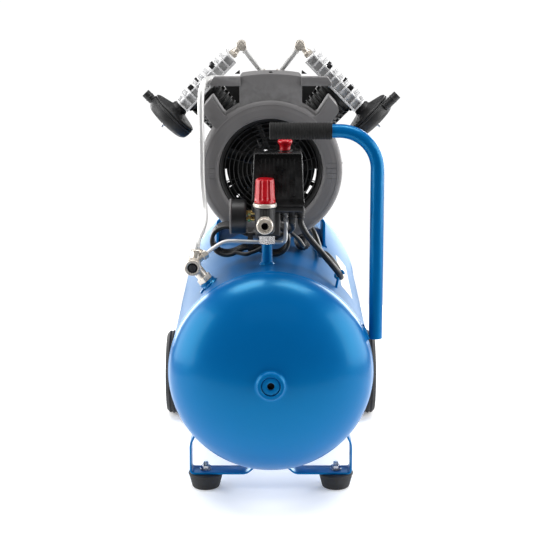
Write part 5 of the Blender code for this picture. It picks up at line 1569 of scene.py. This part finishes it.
def riser():
    """The painted pipe stub under the switch, with its weld-on collar."""
    at = (RISER_X, RISER_Y, 0)
    profile = [(0.0055, 0.349), (0.0078, 0.349), (0.0078, 0.3955), (0.0072, 0.396), (0.0055, 0.396)]
    stub = lathe(BLUE, profile, at=at, steps=64, soft=0.0002, closed=True)
    runs = weld_ring((RISER_X, RISER_Y, 0.356), Z_AXIS, 0.0076, 0.0012, seed=9.0)
    piece("painted_riser", ["riser_pipe"], "tank_blue", stub, runs)


def manifold():
    """The switch's cast foot, the bright hexagon over the riser, its plug, relief valve and unloader arm."""
    cast = uneven(block(POWDER_BLACK, (-0.0225, -0.2645, 0.4), (0.014, -0.214, 0.4367), bevel=0.003,
        segments=4), 0.0002, 0.006)
    low = Vector((RISER_X, RISER_Y, 0.385))
    relief = Vector((RISER_X, -0.216, RELIEF_Z))
    shapes = [cast, hexagon(CHROME, low, low + Z_AXIS * 0.016, 0.0133, up=X_AXIS, bore=0.0081),
        rod(CHROME, low + Z_AXIS * 0.0155, low + Z_AXIS * 0.018, 0.0105, steps=48),
        rod(POWDER_BLACK, low + Z_AXIS * 0.015, low + Z_AXIS * 0.024, 0.012, steps=48),
        block(POWDER_BLACK, (0.01, -0.236, 0.43), (0.03, -0.22, 0.4367), bevel=0.0012),
        hexagon(ZINC, (0.0223, -0.228, 0.4158), (0.0223, -0.228, 0.424), 0.007),
        rod(ZINC, (0.0223, -0.228, 0.4235), (0.0223, -0.228, 0.431), 0.0048),
        hexagon(ZINC, (0.0223, -0.228, 0.427), (0.0223, -0.228, 0.4305), 0.0066),
        lathe(BRASS, [(0.0026, 0.018), (0.0048, 0.018), (0.0056, 0.0168), (0.0056, 0.011), (0.0048, 0.0104),
        (0.0048, 0.008), (0.006, 0.0076), (0.006, 0.0), (0.0026, 0.0)], at=relief, axis=Y_AXIS, steps=48,
        closed=True), hexagon(BRASS, relief, relief + Y_AXIS * 0.0055, 0.0068, bore=0.0026)]
    piece("cast_switch_foot", ["manifold_block"], "black_paint", *shapes)


def relief_ring():
    """A thin stem with a split ring through its eye."""
    foot = Vector((RISER_X, -0.208, RELIEF_Z))
    stem = rod(ZINC, foot, (RISER_X, -0.188, RELIEF_Z), 0.0015, steps=20)
    turns = [(RISER_X + 0.0006 * sin(t / 10), -0.1825 + 0.0075 * cos(t * pi / 20),
        RELIEF_Z + 0.0075 * sin(t * pi / 20)) for t in range(40)]
    hoop = tube(ZINC, turns + [turns[0]], 0.0009)
    eye = lathe(ZINC, [(0.001, 0.001), (0.0022, 0.0008), (0.0022, -0.0008), (0.001, -0.001)],
        at=(RISER_X, -0.189, RELIEF_Z), axis=X_AXIS, steps=24, closed=True)
    piece("relief_pull_ring", ["relief_ring"], "steel", stem, hoop, eye)


def switch():
    """The pressure switch: base and cable glands, a tapered gloss cover with ribs, and its mushroom knob."""
    low, seam, high = 0.437, 0.4457, 0.524
    x, y = SWITCH_X, SWITCH_Y
    shapes = [block(BLACK_SATIN, (x - 0.0385, y - 0.029, low), (x + 0.0385, y + 0.029, seam - 0.0006),
            bevel=0.0022, segments=3)]
    for gland in (0.044, 0.031):
        profile = [(0.0046, 0.424), (0.0054, 0.424), (0.0062, 0.425), (0.0062, 0.4262), (0.0053, 0.4266),
            (0.0053, 0.4278), (0.0062, 0.4282), (0.0062, 0.4294), (0.0053, 0.4298), (0.0053, 0.431),
            (0.0062, 0.4314), (0.0062, 0.439), (0.0046, 0.439)]
        shapes.append(lathe(BLACK_SATIN, profile, at=(gland, -0.245, 0), steps=40, soft=0.0002, closed=True))
    piece("switch_foot", ["switch_base"], "black_plastic", *shapes)

    taper = [(-0.0385, seam), (0.0385, seam), (0.035, high), (-0.035, high)]
    cover = slab(BLACK_GLOSS, rounded(taper, 0.003, steps=4, closed=True), 0.06, at=(x, y, 0), along=-Y_AXIS,
        bevel=0.0026, segments=4)
    shapes = [cover]
    for i in range(9):
        offset = -0.024 + 0.006 * i
        shapes.append(block(BLACK_GLOSS, (x + offset - 0.0012, y - 0.0303, 0.462),
            (x + offset + 0.0012, y - 0.029, 0.516), bevel=0.0003, segments=2))
    skirt = [(-0.0386, seam + 0.0002), (0.0386, seam + 0.0002), (0.0381, seam + 0.0115),
        (-0.0381, seam + 0.0115)]
    shapes.append(slab(BLACK_GLOSS, skirt, 0.0606, at=(x, y, 0), along=-Y_AXIS, bevel=0.001, segments=2))
    knob_at = (x + 0.0105, y + 0.002, 0)
    shapes.append(lathe(BLACK_GLOSS, [(0.0086, high + 0.001), (0.0104, high + 0.001), (0.0108, high - 0.001)],
        at=knob_at, steps=56, soft=0.0003))
    shapes += cap_screw(ZINC, (x - 0.018, y + 0.004, high - 0.0012), Z_AXIS, radius=0.0034, height=0.0018)
    piece("gloss_switch_cover", ["switch_cover"], "black_plastic", *shapes)

    profile = [(0, 0.54), (0.009, 0.5398), (0.0105, 0.5388), (0.011, 0.5372), (0.0106, 0.5352),
        (0.0084, 0.5322), (0.0077, 0.529), (0.0075, 0.506), (0, 0.506)]
    knob = lathe(RED, profile, at=knob_at, steps=72, soft=0.0007)
    dish = lathe(RED, [(0.0086, 0.5398), (0.008, 0.5403), (0.0074, 0.5398)], at=knob_at, steps=64,
        soft=0.0001)
    piece("mushroom_knob", ["switch_knob"], "red_plastic", knob, dish)


def regulator():
    """The regulator's cast body with its bright collar, and the fluted knob above it."""
    x, y = REGULATOR_X, REGULATOR_Y
    body = [(0, 0.4544), (0.013, 0.4544), (0.013, 0.4478), (0.0142, 0.4474), (0.0148, 0.4462),
        (0.0148, 0.416), (0.0138, 0.4125), (0.0118, 0.4102), (0, 0.41)]
    collar = [(0.012, 0.4544), (0.0166, 0.4544), (0.0172, 0.4538), (0.0172, 0.4496), (0.0164, 0.4488),
        (0.012, 0.4488)]
    shapes = [lathe(BLACK_SATIN, body, at=(x, y, 0), steps=80, soft=0.001),
        lathe(NICKEL, collar, at=(x, y, 0), steps=96, soft=0.0003, closed=True),
        block(POWDER_BLACK, (x - 0.009, y + 0.008, 0.415), (x + 0.009, -0.265, 0.436), bevel=0.0022),
        lathe(POWDER_BLACK, [(0, 0.017), (0.0078, 0.017), (0.0085, 0.0162), (0.0085, 0.0)],
            at=(x, y, COUPLER_Z), axis=-Y_AXIS, steps=56),
        lathe(POWDER_BLACK, [(0, 0.4102), (0.006, 0.409), (0, 0.4088)], at=(x, y, 0), steps=40, soft=0.0002)]
    for i in range(24):
        rib = block(BLACK_SATIN, (0.0144, -0.0007, 0.438), (0.0151, 0.0007, 0.4462), bevel=0.0002, segments=1)
        shapes.append(spun(rib, (x, y, 0), 2 * pi * i / 24, "Z"))
    piece("regulator_casting", ["regulator_body"], "black_paint", *shapes)

    form = bmesh.new()
    steps = 192
    flutes = 8
    levels = [(0.0141, 0.4547, 0.0), (0.015, 0.4553, 0.0), (0.015, 0.459, 0.0), (0.0148, 0.4606, 0.6),
        (0.0146, 0.463, 1.0), (0.0137, 0.485, 1.0), (0.0134, 0.4876, 0.9), (0.0128, 0.4891, 0.6),
        (0.0116, 0.4899, 0.2), (0.008, 0.4901, 0.0), (0.005, 0.4896, 0.0)]
    rings = []
    for radius, z, cut in levels:
        ring = []
        for k in range(steps):
            turn = 2 * pi * k / steps
            wave = max(0.0, -cos(flutes * turn)) ** 0.7
            r = radius - 0.0017 * cut * wave
            ring.append(form.verts.new((x + r * cos(turn), y + r * sin(turn), z)))
        rings.append(ring)
    for first, second in zip(rings, rings[1:]):
        for k in range(steps):
            form.faces.new((first[k], first[(k + 1) % steps], second[(k + 1) % steps], second[k]))
    form.faces.new(rings[0])
    form.faces.new(rings[-1])
    piece("fluted_knob", ["regulator_knob"], "red_plastic", from_form("knob", form, RED))


def coupler():
    """A quick coupler: a bored body with a steel pin inside, under a knurled sliding sleeve."""
    at = (REGULATOR_X, COUPLER_Y - GAP, COUPLER_Z)
    body = [(0.0052, 0.0275), (0.007, 0.0275), (0.0077, 0.0265), (0.0077, 0.0062), (0.009, 0.006),
        (0.0098, 0.0052), (0.0098, 0.0006), (0.0092, 0), (0.0052, 0)]
    shapes = [lathe(NICKEL, body, at=at, axis=-Y_AXIS, steps=72, soft=0.0002, closed=True),
        # The bore is lined with near-black matte: painted shade.
        lathe(DARK_HOLLOW, [(0, 0.006), (0.0051, 0.006), (0.0051, 0.027)], at=at, axis=-Y_AXIS, steps=48,
            soft=0),
        lathe(DARK_STEEL, [(0, 0.012), (0.0028, 0.0118), (0.0034, 0.01), (0.0034, 0.006)], at=at,
            axis=-Y_AXIS, steps=36),
        hexagon(NICKEL, Vector(at) - Y_AXIS * 0.0006, Vector(at) - Y_AXIS * 0.0052, 0.0108, bore=0.0052)]
    piece("coupler_core", ["coupler_body"], "nickel_brass", *shapes)
    sleeve = [(0.0081, 0.029), (0.0106, 0.029), (0.0114, 0.0284), (0.0118, 0.0272), (0.0118, 0.0152),
        (0.011, 0.0144), (0.0104, 0.0136), (0.0104, 0.0108), (0.0098, 0.0105), (0.0081, 0.0105)]
    shapes = [lathe(NICKEL, sleeve, at=at, axis=-Y_AXIS, steps=96, soft=0.0003, closed=True)]
    for i in range(40):
        ridge = block(NICKEL, (0.0113, -0.0255, -0.0003), (0.012, -0.0165, 0.0003), bevel=0.0002, segments=1)
        shapes.append(spun(ridge, at, 2 * pi * i / 40, "Y"))
    piece("knurled_sleeve", ["coupler_sleeve"], "nickel_brass", *shapes)


def gauge():
    """The pressure gauge: drum, rim, dial with plain ticks, brass nipples, and its needle."""
    face, back, radius = -0.0605, -0.036, 0.026
    at = (0, GAUGE_Y, GAUGE_Z)
    drum = [(0.0235, -face - 0.0006), (0.024, -face), (0.0254, -face), (radius, -face - 0.0008),
        (radius, -face - 0.003), (0.0254, -face - 0.0036), (0.0254, -back + 0.003), (0.0244, -back),
        (0, -back), (0, -face - 0.0065), (0.0235, -face - 0.0065), (0.0235, -face - 0.0006)]
    shapes = [lathe(BLACK_SATIN, drum, at=at, axis=-X_AXIS, steps=96, soft=0.0003),
        lathe(COWL, [(0.0258, -face - 0.0004), (0.0263, -face - 0.001), (0.0263, -face - 0.0026),
            (0.0256, -face - 0.0032)], at=at, axis=-X_AXIS, steps=96, soft=0.0002),
        lathe(DIAL, [(0, -face - 0.0057), (0.0234, -face - 0.0057), (0.0234, -face - 0.0064)], at=at,
            axis=-X_AXIS, steps=96, soft=0)]
    for i in range(31):
        long = i % 5 == 0
        tick = block(DARK_HOLLOW, (face + 0.00545, -0.0004 if long else -0.0002, 0.0165 if long else 0.0188),
            (face + 0.00575, 0.0004 if long else 0.0002, 0.0212), bevel=0.00005, segments=1)
        shapes.append(spun(tick, at, radians(-135 + 9 * i), "X"))
    for z in (0.424, 0.433):
        nipple = Vector((back - 0.001, GAUGE_Y, z))
        shapes.append(rod(BRASS, nipple, (-0.0228, GAUGE_Y, z), 0.0034, steps=32))
        shapes.append(hexagon(BRASS, nipple + X_AXIS * 0.003, nipple + X_AXIS * 0.0075, 0.0047))
    piece("gauge_drum", ["gauge_case"], "black_plastic", *shapes)
    hub = lathe(RED, [(0, 0.0025), (0.0018, 0.0024), (0.0025, 0.0016), (0.0025, 0.0), (0, 0.0)],
        at=(face + 0.0055, GAUGE_Y, GAUGE_Z), axis=-X_AXIS, steps=40, soft=0.0002)
    outline = [(-0.0012, -0.005), (0.0012, -0.005), (0.0008, 0.0), (0.0003, 0.018), (-0.0003, 0.018),
        (-0.0008, 0.0)]
    hand = slab(RED, outline, 0.0007, at=(0, 0, 0), along=X_AXIS, bevel=0.0001, segments=1)
    hand = spun(hand, (face + 0.0041, GAUGE_Y, GAUGE_Z), radians(-135), "X")
    piece("gauge_hand", ["gauge_needle"], "red_plastic", hub, hand)


# ---- assembly -----------------------------------------------------------------------------------

look()
camera()
studio()
cords()
tank()
end_plugs()
drain()
wheels()
feet()
handle()
cowl()
guard()
fan()
for bank, bank_side in SIDES:
    cylinder_head(bank, bank_side)
    barrel(bank, bank_side)
    piston(bank, bank_side)
    elbow(bank, bank_side)
link()
pipes()
corner_valve()
filters()
crank_drive()
motor()
bracket()
riser()
manifold()
relief_ring()
switch()
regulator()
coupler()
gauge()
